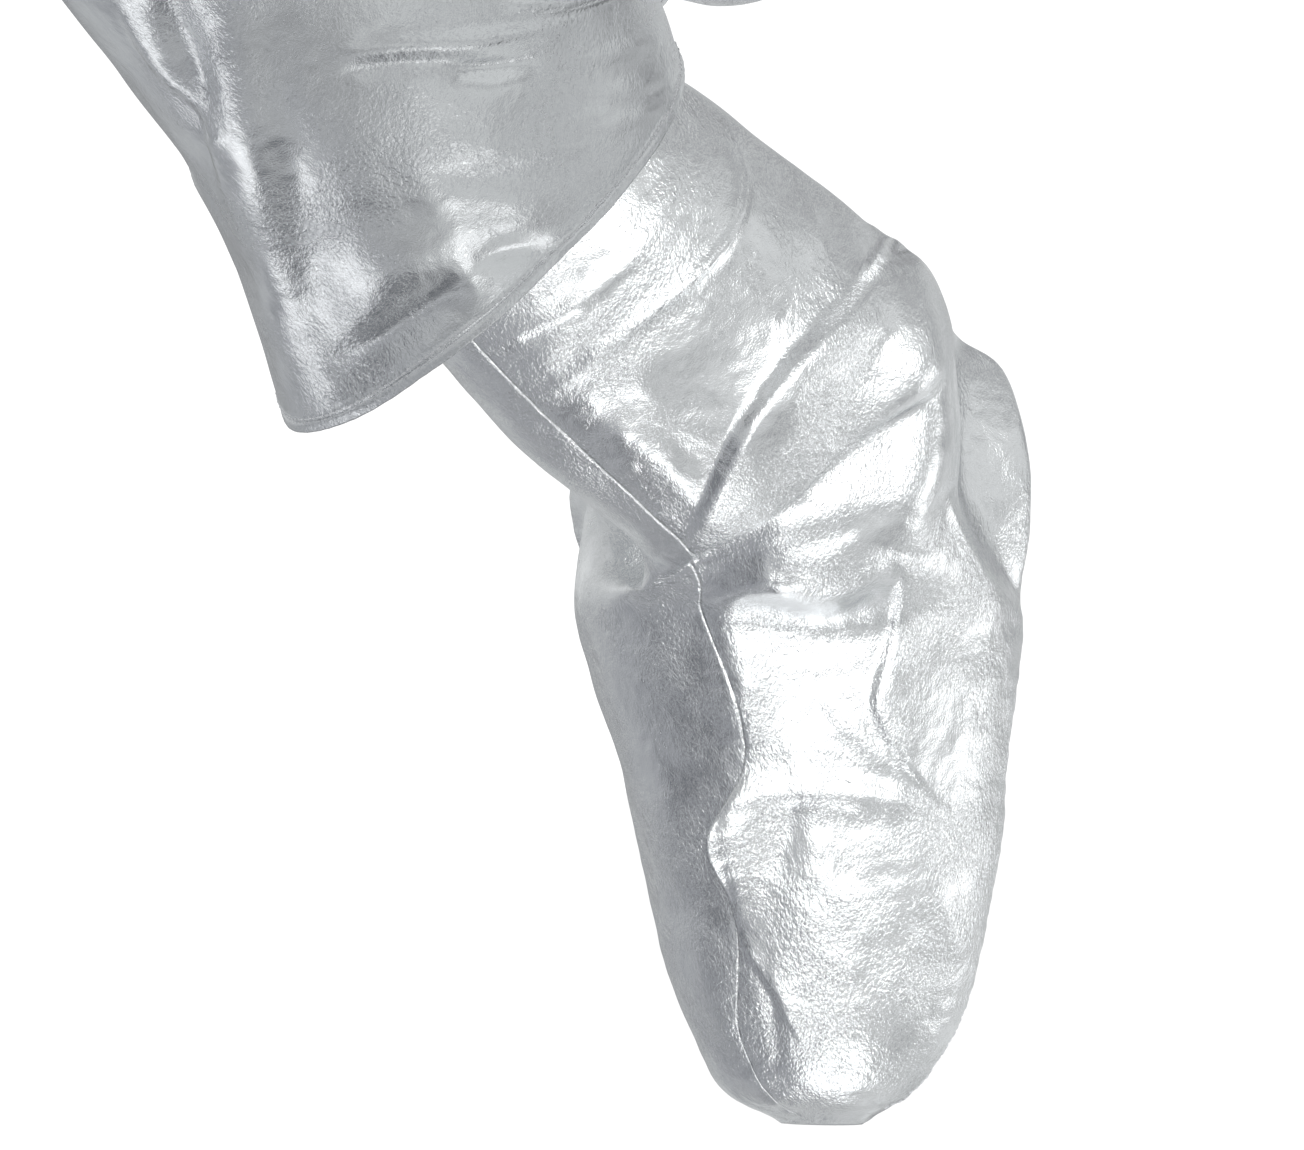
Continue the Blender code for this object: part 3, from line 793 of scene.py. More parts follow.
def shape_leg(left, scale):
    """One leg's folded grid, its wall and its normal's sign."""
    columns = round(178 * scale)
    where = leg_fractions(scale)
    grid = parted(loft(leg_rows(left, columns), where), left)
    sign = outward(grid, True)
    normal = grid_normals(grid, False) * sign
    lower = step_in(where, 0.64, 0.72)[:, None]
    if left:
        flat, facing = outer_view(grid), seen(normal)
    else:
        turned_normal = normal @ np.array(RIGHT_AXES).T @ np.array(LEFT_AXES)
        flat, facing = outer_view(from_right(grid)) + (2.0, -3.0), seen(turned_normal)
    height = lower * facing * fold_heights(flat, LOWER_FOLDS)
    height += lower * (1 - facing) * 0.9 * fold_heights(flat + (6.0, 9.0), LOWER_FOLDS)
    chart = flat_chart(LEG_CHART, where, columns)
    height += fold_heights(chart, UPPER_FOLDS) * step_in(chart[..., 0], 24, 50)
    height += 0.9 * lattice_noise(grid, 46, 3) + 0.4 * lattice_noise(grid, 19, 5)
    height *= step_in(where * LEG_CHART[1], 0, 14)[:, None]
    u, v = along_cloth(grid)
    from_hem = v[-1:] - v
    height += seam_heights(grid, ["first", "last"], 0.5)
    height -= 0.75 * np.exp(-((from_hem - 4.2) / 0.9)**2)
    gathers = np.sin(u / 1.35 + 1.4 * np.sin(u / 9.0)) * (0.7 + 0.3 * np.sin(u / 17.0))
    height += 0.32 * gathers * np.exp(-((from_hem - 4.6) / 4.2)**2)
    height += 0.8 * np.sin(u / 15.0 + 1.0) * np.exp(-from_hem / 16.0)
    wall = CLOTH + 0.9 * (1 - step_in(from_hem, 6.0, 7.6)) + 0.5 * np.exp(-(from_hem / 1.2)**2)
    return grid + height[..., None] * normal, wall, sign


for side, left, scale in (("left", True, 1.0), ("right", False, 0.6)):
    leg_grid, leg_wall, leg_sign = shape_leg(left, scale)
    cloth("leg_" + side, leg_grid, SUIT_FOIL, SUIT_SLOT, leg_wall, out=leg_sign)

# %% [markdown]
# ## Boot covers
# A boot cover is a soft sock of the same cloth, bright where it is stretched over the instep. One strong ridge
# runs from the back of the ankle to the front seam, the ankle folds across, and the outer panel's seam
# allowance curls out over the foot. The edge under the sole is gathered by its elastic.

# %% Folds of the boot cover
BOOT_FOLDS = [
    ([(-66, 86), (-20, 111), (5, 140), (16, 172)], 3.0, 1.1, "lip"),
    ([(-46, 68), (-28, 80), (-5, 99), (18, 118), (32, 135), (36, 154), (28, 178)], 1.5, 3.0, "crest"),
    ([(-38, 104), (-5, 123), (17, 150), (18, 188)], 2.6, 0.7, "crest"),
    ([(-20, 82), (10, 104), (40, 128)], 4.5, -0.8, "ridge"),
    ([(99, 136), (80, 108), (60, 88), (38, 60), (27, 38), (14, 8)], 9.0, 6.8, "lip"),
    ([(80, 136), (60, 112), (36, 84), (12, 42)], 16.0, -2.4, "ridge"),
    ([(58, 152), (67, 127), (73, 102)], 3.2, 0.6, "crest"),
    ([(46, 164), (56, 140), (60, 118)], 3.6, -0.5, "ridge"),
    ([(72, 142), (78, 124), (84, 108)], 3.0, 0.4, "crest"),
    ([(97, 124), (103, 88), (104, 48), (97, 10)], 11.0, 9.0, "ridge"),
    ([(84, 96), (78, 62), (60, 32)], 9.0, -3.0, "ridge"),
    ([(30, 24), (45, 40), (62, 56)], 3.6, 1.0, "crest"),
    ([(22, 20), (36, 30), (58, 38)], 3.0, 0.7, "crest"),
    ([(10, -10), (42, -3), (66, -8), (92, 4)], 5.0, 3.0, "ridge"),
    ([(16, 8), (50, 10), (84, 20)], 6.0, -2.2, "ridge"),
    ([(14, -22), (44, -20), (74, -26)], 5.0, -0.8, "ridge"),
    ([(36, -30), (60, -36), (90, -26)], 5.0, 0.7, "ridge"),
    ([(113, 32), (120, 14), (131, -6)], 3.0, 2.4, "lip"),
    ([(99, 6), (94, -24), (88, -52), (100, -74), (118, -92)], 7.0, 3.6, "lip"),
    ([(30, -88), (60, -84), (86, -86), (114, -92)], 5.0, 2.2, "ridge"),
    ([(44, -98), (70, -97), (104, -103)], 6.0, -0.8, "ridge"),
    ([(66, -46), (80, -62), (104, -84)], 4.0, 1.6, "ridge"),
    ([(36, -143), (45, -159), (60, -183)], 3.2, 2.6, "lip"),
    ([(42, -146), (47, -170), (50, -194)], 3.6, -1.8, "ridge"),
    ([(36, -82), (37, -105), (34, -131)], 1.6, -1.4, "ridge"),
    ([(26, -4), (34, -30), (36, -66)], 9.5, 5.6, "ridge"),
    ([(-8, -60), (4, -90), (10, -130)], 9.0, 2.0, "ridge"),
    ([(18, -128), (24, -160), (34, -186)], 6.0, 1.6, "ridge"),
    ([(108, -116), (118, -140), (112, -170)], 6.0, 1.4, "ridge"),
    ([(-20, 62), (4, 46), (22, 20)], 6.0, 1.8, "ridge"),
    ([(-56, 70), (-26, 46), (0, 22)], 7.0, -2.0, "ridge"),
]
print(len(BOOT_FOLDS), "folds on a boot cover")

# %% Shape the boot covers


ANKLE_SOFTENING = 90       # smoothing passes where the shaft meets the foot


def boot_panel(outer, rows, columns):
    """One side panel of the left boot cover, folded."""
    guide = shaft_rows(outer, columns) + heel_rows(outer, columns) + foot_rows(outer, columns)
    where = np.linspace(0, 1, rows)
    grid = loft(guide, where)
    ankle = (len(shaft_rows(outer, 3)) + len(heel_rows(outer, 3)) - 0.5) / (len(guide) - 1)
    near_ankle = np.exp(-((where[1:-1, None, None] - ankle) / 0.05)**2)
    for _ in range(ANKLE_SOFTENING):
        grid[1:-1] += 0.25 * near_ankle * (grid[2:] - 2 * grid[1:-1] + grid[:-2])
    sign = outward(grid, False)
    normal = grid_normals(grid, False) * sign
    flat, facing = outer_view(grid), seen(normal)
    height = facing * fold_heights(flat, BOOT_FOLDS)
    height += (1 - facing) * (0.1 + 0.4 * outer) * fold_heights(flat + (7.0, -8.0), BOOT_FOLDS)
    hidden_top = step_in(where, 0.10, 0.20)[:, None]
    height *= np.where(facing > 0.3, 1.0, hidden_top)
    height += 0.7 * lattice_noise(grid, 30, 11) + 0.35 * lattice_noise(grid, 13, 13)
    u, v = along_cloth(grid)
    from_rim = u[:, -1:] - u
    foot = step_in(where, 0.46, 0.60)[:, None]
    along = v[:, -1:] + 0 * u
    gathers = np.sin(along / 1.5 + 2.0 * np.sin(along / 11.0)) * np.sin(along / 4.3)
    height += foot * 0.45 * gathers * np.exp(-from_rim / 10.0)
    height += foot * 0.14 * np.sin(along / 2.4 + 1.5 * np.sin(along / 7.0)) * np.exp(-(from_rim / 42.0)**2)
    height += seam_heights(grid, ["first"], 0.4) * (0.2 + 0.8 * foot)
    height *= step_in(v, 0.0, 5.0) * (1 - step_in(where, 0.985, 1.0)[:, None])
    grid = grid + height[..., None] * normal
    if outer:
        curl = np.exp(-((grid[..., 2] + 104) / 21)**2) * step_in(where, 0.5, 0.6)[:, None]
        curl = curl * (seen(normal) > 0.2)
        grid[..., 0] -= 14.0 * curl * np.exp(-(u / 8.0)**2)
        grid[..., 1] -= 6.5 * curl * np.exp(-(u / 9.0)**2)
        grid[..., 1] += 1.6 * curl * np.exp(-((u - 18.0) / 7.0)**2)
    return grid, sign


BOOT_DOWN = 301            # rows of points down a boot panel
for word, outer, columns in (("outer", True, 147), ("inner", False, 111)):
    boot_grid, boot_sign = boot_panel(outer, BOOT_DOWN, columns)
    cloth("boot_left_" + word, boot_grid, BOOT_FOIL, BOOT_SLOT, out=boot_sign)
    cloth("boot_right_" + word, to_right(boot_grid[::2, ::2]), BOOT_FOIL, BOOT_SLOT, out=-boot_sign)

# %% [markdown]
# ## Bodice, sleeves, collar and placket
# The upper suit is loose over a general figure: gathers at the waist, drag lines from the underarm, rings of
# folds round the bent elbows. These folds are drawn on each piece's own cut, in millimetres on the cloth.

# %% Bodice panels
FRONT_FOLDS = [
    ([(10, 262), (42, 200), (58, 120)], 8, 3.0, "ridge"), ([(6, 236), (50, 218), (98, 240)], 6, 2.4, "crest"),
    ([(12, 290), (60, 284), (112, 310)], 7, 2.4, "ridge"), ([(30, 4), (38, 42), (30, 92)], 5, 2.2, "ridge"),
    ([(62, 2), (58, 50), (70, 112)], 6, 2.6, "ridge"), ([(96, 4), (104, 40), (94, 84)], 5, 2.0, "ridge"),
    ([(132, 2), (126, 46), (136, 96)], 6, 2.2, "ridge"), ([(20, 404), (70, 372), (132, 386)], 8, 2.6, "ridge"),
    ([(40, 430), (90, 410), (140, 430)], 6, 1.8, "ridge"), ([(150, 170), (112, 140), (74, 150)], 9, -2.4, "ridge"),
    ([(60, 330), (96, 312), (130, 330)], 24, -3.2, "ridge"), ([(8, 170), (40, 150), (96, 170)], 6, 2.2, "crest"),
    ([(40, 60), (90, 76), (140, 60)], 7, 2.0, "crest"), ([(14, 110), (34, 70), (30, 30)], 7, -2.0, "ridge"),
]
BACK_FOLDS = [
    ([(12, 268), (50, 230), (110, 236)], 8, 3.0, "ridge"), ([(8, 240), (60, 190), (120, 182)], 7, 2.6, "ridge"),
    ([(14, 296), (70, 300), (130, 330)], 8, 2.4, "ridge"), ([(34, 4), (30, 50), (40, 108)], 6, 2.4, "ridge"),
    ([(72, 2), (80, 46), (70, 96)], 5, 2.2, "ridge"), ([(110, 4), (104, 56), (116, 118)], 6, 2.6, "ridge"),
    ([(146, 2), (150, 40), (144, 86)], 5, 2.0, "ridge"), ([(24, 410), (80, 390), (150, 410)], 9, 2.4, "ridge"),
    ([(50, 70), (100, 88), (158, 70)], 7, 2.6, "crest"), ([(40, 130), (100, 120), (160, 134)], 8, 2.2, "ridge"),
    ([(60, 360), (110, 340), (150, 352)], 22, -3.0, "ridge"), ([(10, 150), (44, 132), (92, 148)], 6, 1.8, "crest"),
]
PANEL_CHART = (190.0, 470.0)
PANEL_GRID = (66, 130)     # columns and rows of points

for word, face, folds in (("front", -1, FRONT_FOLDS), ("back", 1, BACK_FOLDS)):
    panel = loft(bodice_rows(face, PANEL_GRID[0]), PANEL_GRID[1])
    panel[..., 0] = np.maximum(panel[..., 0], SEAM / 2)
    panel[..., 1] = face * np.maximum(face * panel[..., 1], SEAM)
    chart = flat_chart(PANEL_CHART, np.linspace(0, 1, PANEL_GRID[1]), PANEL_GRID[0])
    across, up = along_cloth(panel)
    from_centre = across[:, -1:] - across
    from_edges = step_in(up, 0, 14) * step_in(up[-1:] - up, 0, 14) * step_in(across, 0, 10)
    calm = step_in(from_centre, 22 if face < 0 else 2, 44 if face < 0 else 16)
    for side, flip in (("left", 1), ("right", -1)):
        grid = from_body(panel * (flip, 1, 1))
        sign = outward(grid, False)
        shifted = chart + (0, 9 if flip < 0 else 0)
        height = fold_heights(shifted, folds) + 0.8 * lattice_noise(grid, 40, 21) + 0.4 * lattice_noise(grid, 17, 23)
        height = height * calm * from_edges + seam_heights(grid, ["first", "last", "top"], 0.5)
        cloth(f"bodice_{word}_{side}", grid + height[..., None] * grid_normals(grid, False) * sign,
              SUIT_FOIL, SUIT_SLOT, out=sign)

# %% Sleeves
SLEEVE_FOLDS = [
    ([(30, 60), (110, 84), (200, 62)], 8, 3.0, "ridge"), ([(230, 50), (300, 78), (390, 56)], 8, 2.8, "ridge"),
    ([(60, 120), (140, 150), (210, 128)], 7, 2.4, "ridge"), ([(40, 216), (120, 232), (200, 214)], 6, 3.6, "crest"),
    ([(30, 240), (120, 262), (214, 240)], 6, 4.0, "crest"), ([(50, 274), (124, 288), (196, 268)], 6, 3.2, "crest"),
    ([(240, 226), (310, 246), (380, 228)], 6, 3.2, "crest"), ([(226, 256), (310, 274), (396, 252)], 6, 3.4, "crest"),
    ([(80, 330), (150, 350), (230, 336)], 7, 2.2, "ridge"), ([(250, 320), (330, 344), (400, 322)], 7, 2.4, "ridge"),
    ([(100, 380), (110, 420), (96, 460)], 6, 1.8, "ridge"), ([(220, 384), (232, 424), (216, 462)], 6, 2.0, "ridge"),
    ([(330, 380), (322, 420), (336, 462)], 6, 1.8, "ridge"), ([(180, 160), (196, 200), (184, 236)], 8, 2.0, "ridge"),
]
SLEEVE_CHART = (430.0, 480.0)
SLEEVE_GRID = (88, 130)

for side, arm, flip in (("left", LEFT_ARM, 1), ("right", RIGHT_ARM, -1)):
    grid = from_body(loft(sleeve_rows(arm, SLEEVE_GRID[0]), SLEEVE_GRID[1]) * (flip, 1, 1))
    sign = outward(grid, True)
    normal = grid_normals(grid, True) * sign
    chart = flat_chart(SLEEVE_CHART, np.linspace(0, 1, SLEEVE_GRID[1]), SLEEVE_GRID[0])
    u, v = along_cloth(grid)
    from_cuff = v[-1:] - v
    height = fold_heights(chart, SLEEVE_FOLDS) + 0.8 * lattice_noise(grid, 38, 31) + 0.4 * lattice_noise(grid, 16, 33)
    height = height * step_in(v, 4, 26) + seam_heights(grid, ["top"], 0.4)
    height -= 0.7 * np.exp(-((from_cuff - 12) / 1.2)**2)
    height += 0.35 * np.sin(u / 1.6 + 1.3 * np.sin(u / 8)) * np.exp(-((from_cuff - 12) / 5)**2)
    wall = CLOTH + 0.9 * (1 - step_in(from_cuff, 13, 15))
    cloth("sleeve_" + side, grid + height[..., None] * normal, SUIT_FOIL, SUIT_SLOT, wall, tube=True, out=sign)

# %% Collar and placket
COLLAR_LEFT = [(3, -116, 528), (50, -84, 552), (73, -42, 577), (78, 0, NECK_Z), (70, 34, 586), (46, 70, 578)]
collar_loop = COLLAR_LEFT + [(0, 108, 566)] + [(-x, y, z) for x, y, z in reversed(COLLAR_LEFT)]
COLLAR_GRID = (170, 30)    # points round the neck and up the collar
collar_base = loft(np.array(collar_loop)[:, None, :], COLLAR_GRID[0])[:, 0, :]
collar_top = collar_base * (0.90, 0.88, 1) + (0, 0, 36)
collar_rows = [collar_base + (0, 0, 2.2), (collar_base + collar_top) / 2 + (0, 0, 1), collar_top]
collar_grid = from_body(loft(collar_rows, COLLAR_GRID[1]))
collar_sign = outward(collar_grid, True)
u, v = along_cloth(collar_grid)
from_top = v[-1:] - v
collar_height = 0.5 * lattice_noise(collar_grid, 24, 41) + 0.3 * np.sin(u / 2.0 + np.sin(u / 9)) * np.exp(-v / 7)
collar_height -= 0.6 * np.exp(-((from_top - 5) / 1.0)**2)
collar_wall = 1.6 + 0.5 * np.exp(-(from_top / 1.5)**2)
collar_out = grid_normals(collar_grid, False) * collar_sign
cloth("collar", collar_grid + collar_height[..., None] * collar_out, SUIT_FOIL, SUIT_SLOT, collar_wall,
      out=collar_sign)

PLACKET, PLACKET_END_Z, LIFT = 20, 52, 2.4
PLACKET_GRID = (29, 200)   # points across and down the strip
spread = np.linspace(-PLACKET, PLACKET, PLACKET_GRID[0])
leg_part = [row for row in to_body(loft(leg_rows(True, 41), 60)) if WAIST_Z - 8 > row[0, 2] > PLACKET_END_Z]
front_part = [row[::-1] for row in loft(bodice_rows(-1, 25), 15) if row[-1, 0] < 1 and row[-1, 2] < 525]
placket_rows = []
for row in leg_part[::-1] + front_part:
    x, y, z = row[:12].T
    placket_rows.append(np.column_stack([spread, np.interp(abs(spread), x, y), np.interp(abs(spread), x, z)]))
placket_grid = from_body(loft(placket_rows, PLACKET_GRID[1]) + (0, -LIFT, 0))
out_of_front = BODY @ np.array([0, -1, 0])
placket_sign = 1 if (grid_normals(placket_grid, False) @ out_of_front).sum() > 0 else -1
u, v = along_cloth(placket_grid)
edge = np.minimum(u, u[:, -1:] - u)
placket_height = 0.4 * lattice_noise(placket_grid, 18, 43) - 0.45 * np.exp(-((edge - 4) / 0.9)**2)
placket_height += 0.3 * np.sin(v / 1.8 + np.sin(v / 8)) * np.exp(-((edge - 4) / 4)**2)
placket_out = grid_normals(placket_grid, False) * placket_sign
cloth("placket", placket_grid + placket_height[..., None] * placket_out, SUIT_FOIL, SUIT_SLOT, 1.2,
      out=placket_sign)

# %% [markdown]
# ## Stitches
# Every hem and topstitched seam shows a row of short thread dashes. One Geometry Nodes tree lays a small
# bead at even steps along a line, turned along it, and the same tree serves every seam. The lines are taken
# from the finished cloth, so the thread lies on it.

# %% Stitch tree


def stitch_tree():
    """Beads at even steps along an edge line, with named inputs for pitch, length and thickness."""
    tree = bpy.data.node_groups.new("stitch_row", "GeometryNodeTree")
    face = tree.interface
    face.new_socket("Geometry", in_out="INPUT", socket_type="NodeSocketGeometry")
    for label, value in (("Pitch", 0.003), ("Length", 0.0022), ("Thickness", 0.0006)):
        face.new_socket(label, in_out="INPUT", socket_type="NodeSocketFloat").default_value = value
    face.new_socket("Thread", in_out="INPUT", socket_type="NodeSocketMaterial")
    face.new_socket("Geometry", in_out="OUTPUT", socket_type="NodeSocketGeometry")

    def add(kind, settings=(), **inputs):
        node = tree.nodes.new(kind)
        for key, value in dict(settings).items():
            setattr(node, key, value)
        for key, value in inputs.items():
            slot = node.inputs[key.replace("_", " ")]
            if isinstance(value, bpy.types.NodeSocket):
                tree.links.new(value, slot)
            else:
                slot.default_value = value
        return node

    start = tree.nodes.new("NodeGroupInput").outputs
    line = add("GeometryNodeMeshToCurve", Mesh=start["Geometry"])
    even = add("GeometryNodeResampleCurve", {"mode": "LENGTH"}, Curve=line.outputs[0], Length=start["Pitch"])
    bead = add("GeometryNodeMeshUVSphere", Segments=6, Rings=4, Radius=0.5)
    size = add("ShaderNodeCombineXYZ", X=start["Thickness"], Y=start["Thickness"], Z=start["Length"])
    tangent = add("GeometryNodeInputTangent")
    turn = add("FunctionNodeAlignRotationToVector", {"axis": "Z"}, Vector=tangent.outputs[0])
    place = add("GeometryNodeInstanceOnPoints", Points=even.outputs[0], Instance=bead.outputs["Mesh"],
                Rotation=turn.outputs[0], Scale=size.outputs[0])
    real = add("GeometryNodeRealizeInstances", Geometry=place.outputs[0])
    paint = add("GeometryNodeSetMaterial", Geometry=real.outputs[0], Material=start["Thread"])
    end = tree.nodes.new("NodeGroupOutput")
    tree.links.new(paint.outputs[0], end.inputs[0])
    return tree


STITCH_TREE = stitch_tree()
print("stitch tree has", len(STITCH_TREE.nodes), "nodes")

# %% Lay the rows of stitches


def cloth_line(name, edge, inset, first=0.0, last=1.0, layer=0.4):
    """A line of points on a piece, `inset` millimetres in from one edge, just above the cloth."""
    grid, normal = made[name]["grid"], made[name]["normal"]
    u, v = along_cloth(grid)
    raised = grid + normal * layer
    if edge in ("top", "end"):
        away = v if edge == "top" else v[-1:] - v
        picks = np.abs(away - inset).argmin(axis=0)
        points = raised[picks, np.arange(grid.shape[1])]
    else:
        away = u if edge == "first" else u[:, -1:] - u
        picks = np.abs(away - inset).argmin(axis=1)
        points = raised[np.arange(len(grid)), picks]
    count = len(points)
    return points[round(first * (count - 1)):round(last * (count - 1)) + 1]


def stitch_rows(name, lines, pitch=0.0030, length=0.0023, thickness=0.0007):
    """One piece of thread along several lines."""
    points, edges = [], []
    for line in lines:
        base = len(points)
        points += metres(line).tolist()
        edges += [(base + i, base + i + 1) for i in range(len(line) - 1)]
    mesh = bpy.data.meshes.new(name + "_line")
    mesh.from_pydata(points, edges, [])
    thread = bpy.data.objects.new(name, mesh)
    bpy.context.scene.collection.objects.link(thread)
    modifier = thread.modifiers.new("Stitches", "NODES")
    modifier.node_group = STITCH_TREE
    ids = {item.name: item.identifier for item in STITCH_TREE.interface.items_tree if item.in_out == "INPUT"}
    for label, value in (("Pitch", pitch), ("Length", length), ("Thickness", thickness), ("Thread", THREAD)):
        modifier[ids[label]] = value
    graph = bpy.context.evaluated_depsgraph_get()
    plain = bpy.data.meshes.new_from_object(thread.evaluated_get(graph))
    thread.modifiers.remove(modifier)
    thread.data = plain
    plain.shade_smooth()
    if not plain.materials:
        plain.materials.append(THREAD)
    print(f"{name}: {len(plain.polygons)} faces")
    return thread


def rim_edge(name):
    """Which edge of a boot panel is the one under the sole: the one further from the other panel's seam."""
    other = made[name.replace("outer", "x").replace("inner", "outer").replace("x", "inner")]["grid"]
    grid = made[name]["grid"]
    row = round(0.7 * len(grid))
    gaps = [np.linalg.norm(other[row] - grid[row, column], axis=1).min() for column in (0, -1)]
    return "first" if gaps[0] > gaps[1] else "last"


threads = []
for side in ("left", "right"):
    hems = [cloth_line("leg_" + side, "end", inset, layer=0.75) for inset in (4.2, 6.4)]
    threads.append((f"hem_stitches_{side}", hems, SUIT_SLOT))
    threads.append((f"cuff_stitches_{side}", [cloth_line("sleeve_" + side, "end", 12.0, layer=0.8)], SUIT_SLOT))
    rims = [cloth_line(f"boot_{side}_{word}", rim_edge(f"boot_{side}_{word}"), 7.0, 0.3, 0.97)
            for word in ("outer", "inner")]
    threads.append((f"boot_stitches_{side}", rims, BOOT_SLOT))
threads.append(("collar_stitches", [cloth_line("collar", "end", 5.0, layer=0.8)], SUIT_SLOT))
edges = [cloth_line("placket", edge, 4.0, layer=0.6) for edge in ("first", "last")]
threads.append(("placket_stitches", edges, SUIT_SLOT))
thread_pieces = {name: (stitch_rows(name, lines), slot) for name, lines, slot in threads}

# %% [markdown]
# ## Put the pieces on the frame
# Each cloth stands for the rigid piece of the same name and rides on the one body. The size of its cut, printed
# when the cloth was made, is read off the finished cloth, not fixed beforehand, so a check of the area against
# it only compares the cloth with itself. The folds add about one percent to the area.

HANGS_FROM = {"leg_left": "bodice_front_left", "leg_right": "bodice_front_right",
              "sleeve_left": "bodice_front_left", "sleeve_right": "bodice_front_right",
              "collar": "bodice_back_left", "placket": "bodice_front_left"}
for name, facts in made.items():
    piece = facts["object"]
    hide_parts(name)
    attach(piece, "root")
    rests_on = [HANGS_FROM[name]] if name in HANGS_FROM else []
for name, (thread, slot) in thread_pieces.items():
    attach(thread, "root")
print(len(made), "cloth pieces and", len(thread_pieces), "rows of stitches")

# %% [markdown]
# ## Light, floor and camera
# Metal cloth is a mirror for its surroundings, so the studio is lit by what the cloth sees. A wide bank of
# light whitens the instep, smaller boxes whiten the flap, the toe and the heel side, and others draw the
# trouser's front column and its folds. Light linking keeps each lamp to the boot covers or to the suit, as a
# flag held beside a lamp would. One box overhead lights all of it. The cloth mirrors a grey room with darker
# areas, while the camera sees a white room and a pale floor.

# %% Lamps
LEG = metres((0, 0, 0))
LENS, SENSOR, VIEW_WIDTH = 250, 36, 0.5086
CAMERA_AWAY = VIEW_WIDTH * LENS / SENSOR


def lit_group(title, boots):
    """A collection of the boot covers' pieces, or of all the others, for lamps that light only those."""
    group = bpy.data.collections.new(title)
    for piece in [item for item in bpy.data.objects if item.type == "MESH"]:
        if ("boot" in piece.name) == boots:
            group.objects.link(piece)
    return group


ON_BOOTS = lit_group("lamps on the boot covers", True)
ON_SUIT = lit_group("lamps on the suit", False)


def box_light(name, away, wide, high, glow, only=None):
    """A soft box that looks at the boot from `away` metres off. `glow` is its brightness against white."""
    data = bpy.data.lights.new(name, "AREA")
    data.shape, data.size, data.size_y = "RECTANGLE", wide, high
    data.energy = glow * np.pi * wide * high
    lamp = bpy.data.objects.new(name, data)
    lamp.location = LEG + np.array(away)
    lamp.rotation_euler = Vector([-value for value in away]).to_track_quat("-Z", "Y").to_euler()
    lamp.visible_camera = False
    if only:
        lamp.light_linking.receiver_collection = only
    bpy.context.scene.collection.objects.link(lamp)
    return lamp


box_light("instep_bank", (0.85, -2.80, -0.42), 4.2, 1.7, 2.1, ON_BOOTS)
box_light("flap_box", (0.05, -0.72, -0.62), 0.36, 0.26, 1.9, ON_BOOTS)
box_light("toe_box", (0.10, -0.02, -0.75), 0.42, 0.30, 1.8, ON_BOOTS)
box_light("side_box", (1.7, 0.45, -0.6), 0.9, 0.7, 1.1, ON_BOOTS)
box_light("column_box", (-1.0, 0.0, -1.0), 0.45, 1.2, 1.0, ON_SUIT)
box_light("drag_box", (0.6, -0.35, -1.0), 0.5, 0.35, 0.9, ON_SUIT)
box_light("fold_box", (-1.2, -1.9, 1.7), 0.9, 0.7, 1.6, ON_SUIT)
box_light("top_box", (0.3, 0.4, 2.6), 1.2, 1.2, 1.2)
print("lamps:", [item.name for item in bpy.data.lights])

# %% Surroundings
world = bpy.data.worlds.new("pale_studio")
bpy.context.scene.world = world
world.use_nodes = True
nodes, links = world.node_tree.nodes, world.node_tree.links


def world_node(kind, settings=(), inputs=()):
    """A node of the world, its inputs values or sockets."""
    node = nodes.new("ShaderNode" + kind)
    for key, value in dict(settings).items():
        setattr(node, key, value)
    for key, value in dict(inputs).items():
        if isinstance(value, bpy.types.NodeSocket):
            links.new(value, node.inputs[key])
        else:
            node.inputs[key].default_value = value
    return node


path = world_node("LightPath").outputs
ways = world_node("TexCoord").outputs["Generated"]
areas = world_node("TexNoise", {}, {"Vector": ways, "Scale": 3.2, "Detail": 1.5}).outputs[0]


def mixed(amount, first, second):
    """The mix of two colours, from the first at 0 to the second at 1."""
    return world_node("Mix", {"data_type": "RGBA"}, {0: amount, 6: first, 7: second}).outputs[2]


def towards(direction):
    """How nearly a ray goes in a direction: 1 straight along it."""
    return world_node("VectorMath", {"operation": "DOT_PRODUCT"}, {0: ways, 1: direction}).outputs[1]


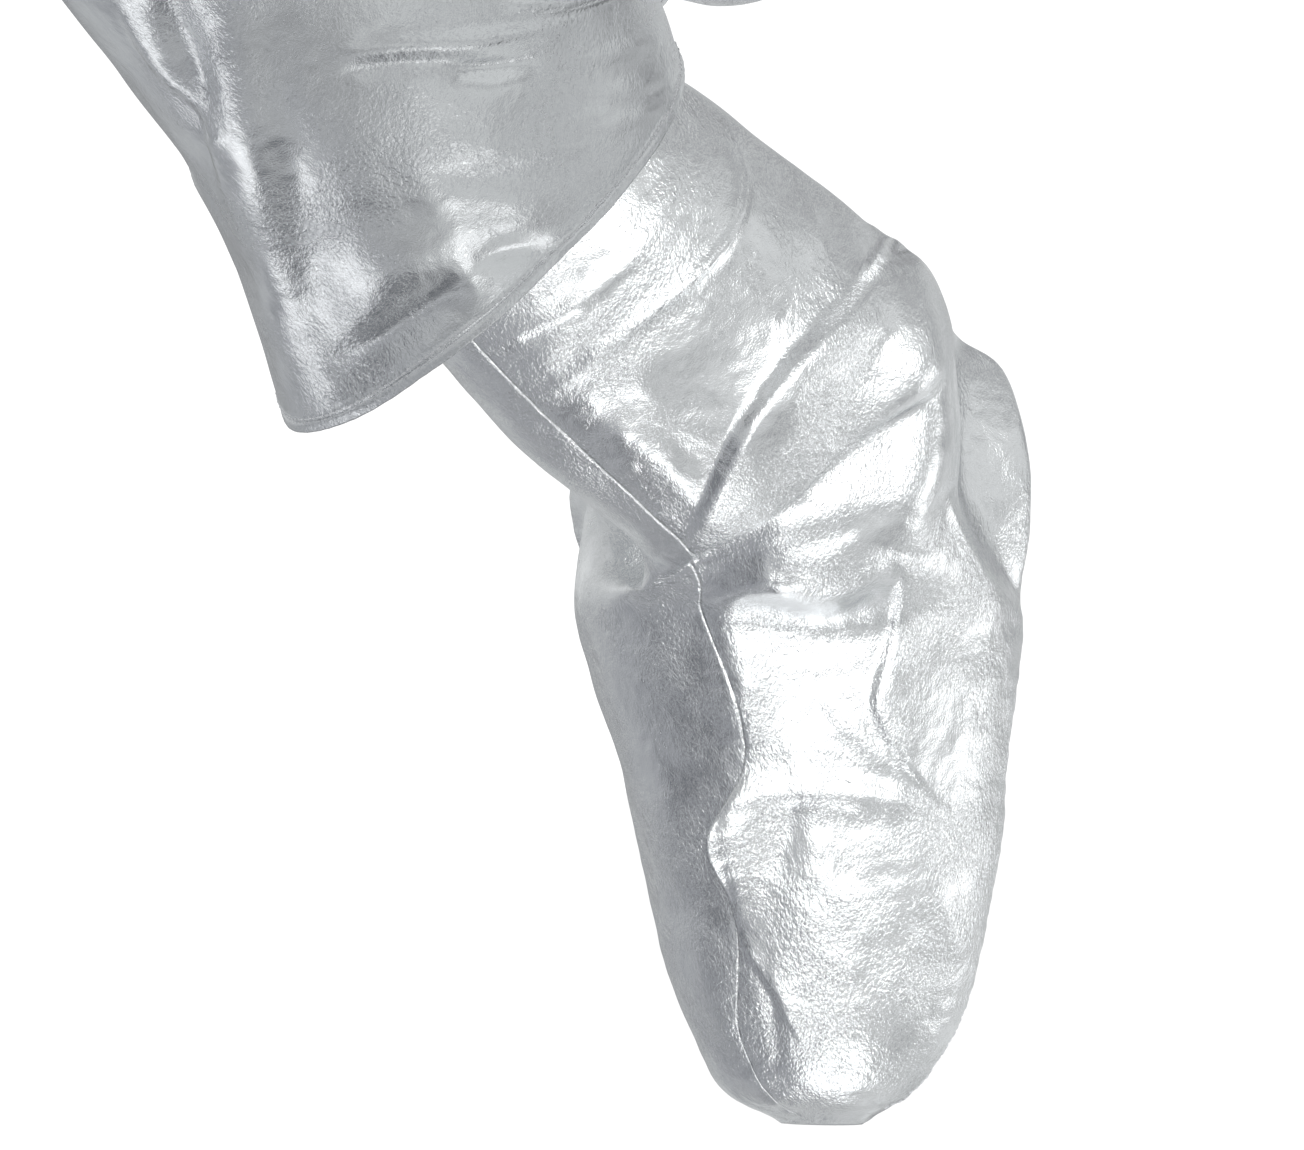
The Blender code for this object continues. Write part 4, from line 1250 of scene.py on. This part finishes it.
def ramp(value, low, high, top=1.0):
    """0 below low, rising to top at high."""
    return world_node("MapRange", {}, {"Value": value, "From Min": low, "From Max": high, "To Max": top}).outputs[0]


greys = mixed(ramp(areas, 0.34, 0.60), (0.26, 0.265, 0.275, 1), (0.74, 0.755, 0.76, 1))
shaded = mixed(ramp(towards((-0.75, 0.1, -0.65)), 0.45, 0.95, 0.7), greys, (0.24, 0.25, 0.28, 1))
dark_side, dark_low = towards((-0.87, -0.20, -0.45)), towards((-0.03, 0.20, -0.98))
darker = world_node("Math", {"operation": "MAXIMUM"}, {0: dark_side, 1: dark_low}).outputs[0]
seen_grey = mixed(ramp(darker, 0.95, 0.985, 0.95), shaded, (0.13, 0.135, 0.15, 1))
room = mixed(path["Is Glossy Ray"], (1.15, 1.15, 1.15, 1), seen_grey)
links.new(room, nodes["Background"].inputs["Color"])
print("the world has", len(nodes), "nodes")

# %% Floor
FLOOR_DROP, FLOOR_HALF = 1.3, 60     # metres below the costume, and half the floor's width


def flat_square(name, half, height, colour):
    """A square lying flat at a height, with its own plain finish."""
    mesh = bpy.data.meshes.new(name)
    mesh.from_pydata([(-half, -half, height), (half, -half, height), (half, half, height), (-half, half, height)],
                     [], [(0, 1, 2, 3)])
    item = bpy.data.objects.new(name, mesh)
    bpy.context.scene.collection.objects.link(item)
    paint = Finish(name + "_paint")
    paint.set(Base_Color=(*colour, 1), Roughness=0.9)
    mesh.materials.append(paint.material)
    return item


FLOOR_LOW = START_BOUNDS[0][2] - FLOOR_DROP
floor = flat_square("floor", FLOOR_HALF, FLOOR_LOW, (0.95, 0.95, 0.95))
floor.visible_glossy = False
print("floor at", round(float(FLOOR_LOW), 3))

# %% Camera
lens = bpy.data.cameras.new("camera")
lens.lens, lens.sensor_width = LENS, SENSOR
camera = bpy.data.objects.new("camera", lens)
camera.location = LEG - np.array([0, CAMERA_AWAY, 0])
camera.rotation_euler = (radians(90), 0, 0)
bpy.context.scene.collection.objects.link(camera)
bpy.context.scene.camera = camera
bpy.context.scene.view_settings.view_transform = "Standard"
print("camera", [round(value, 3) for value in camera.location])
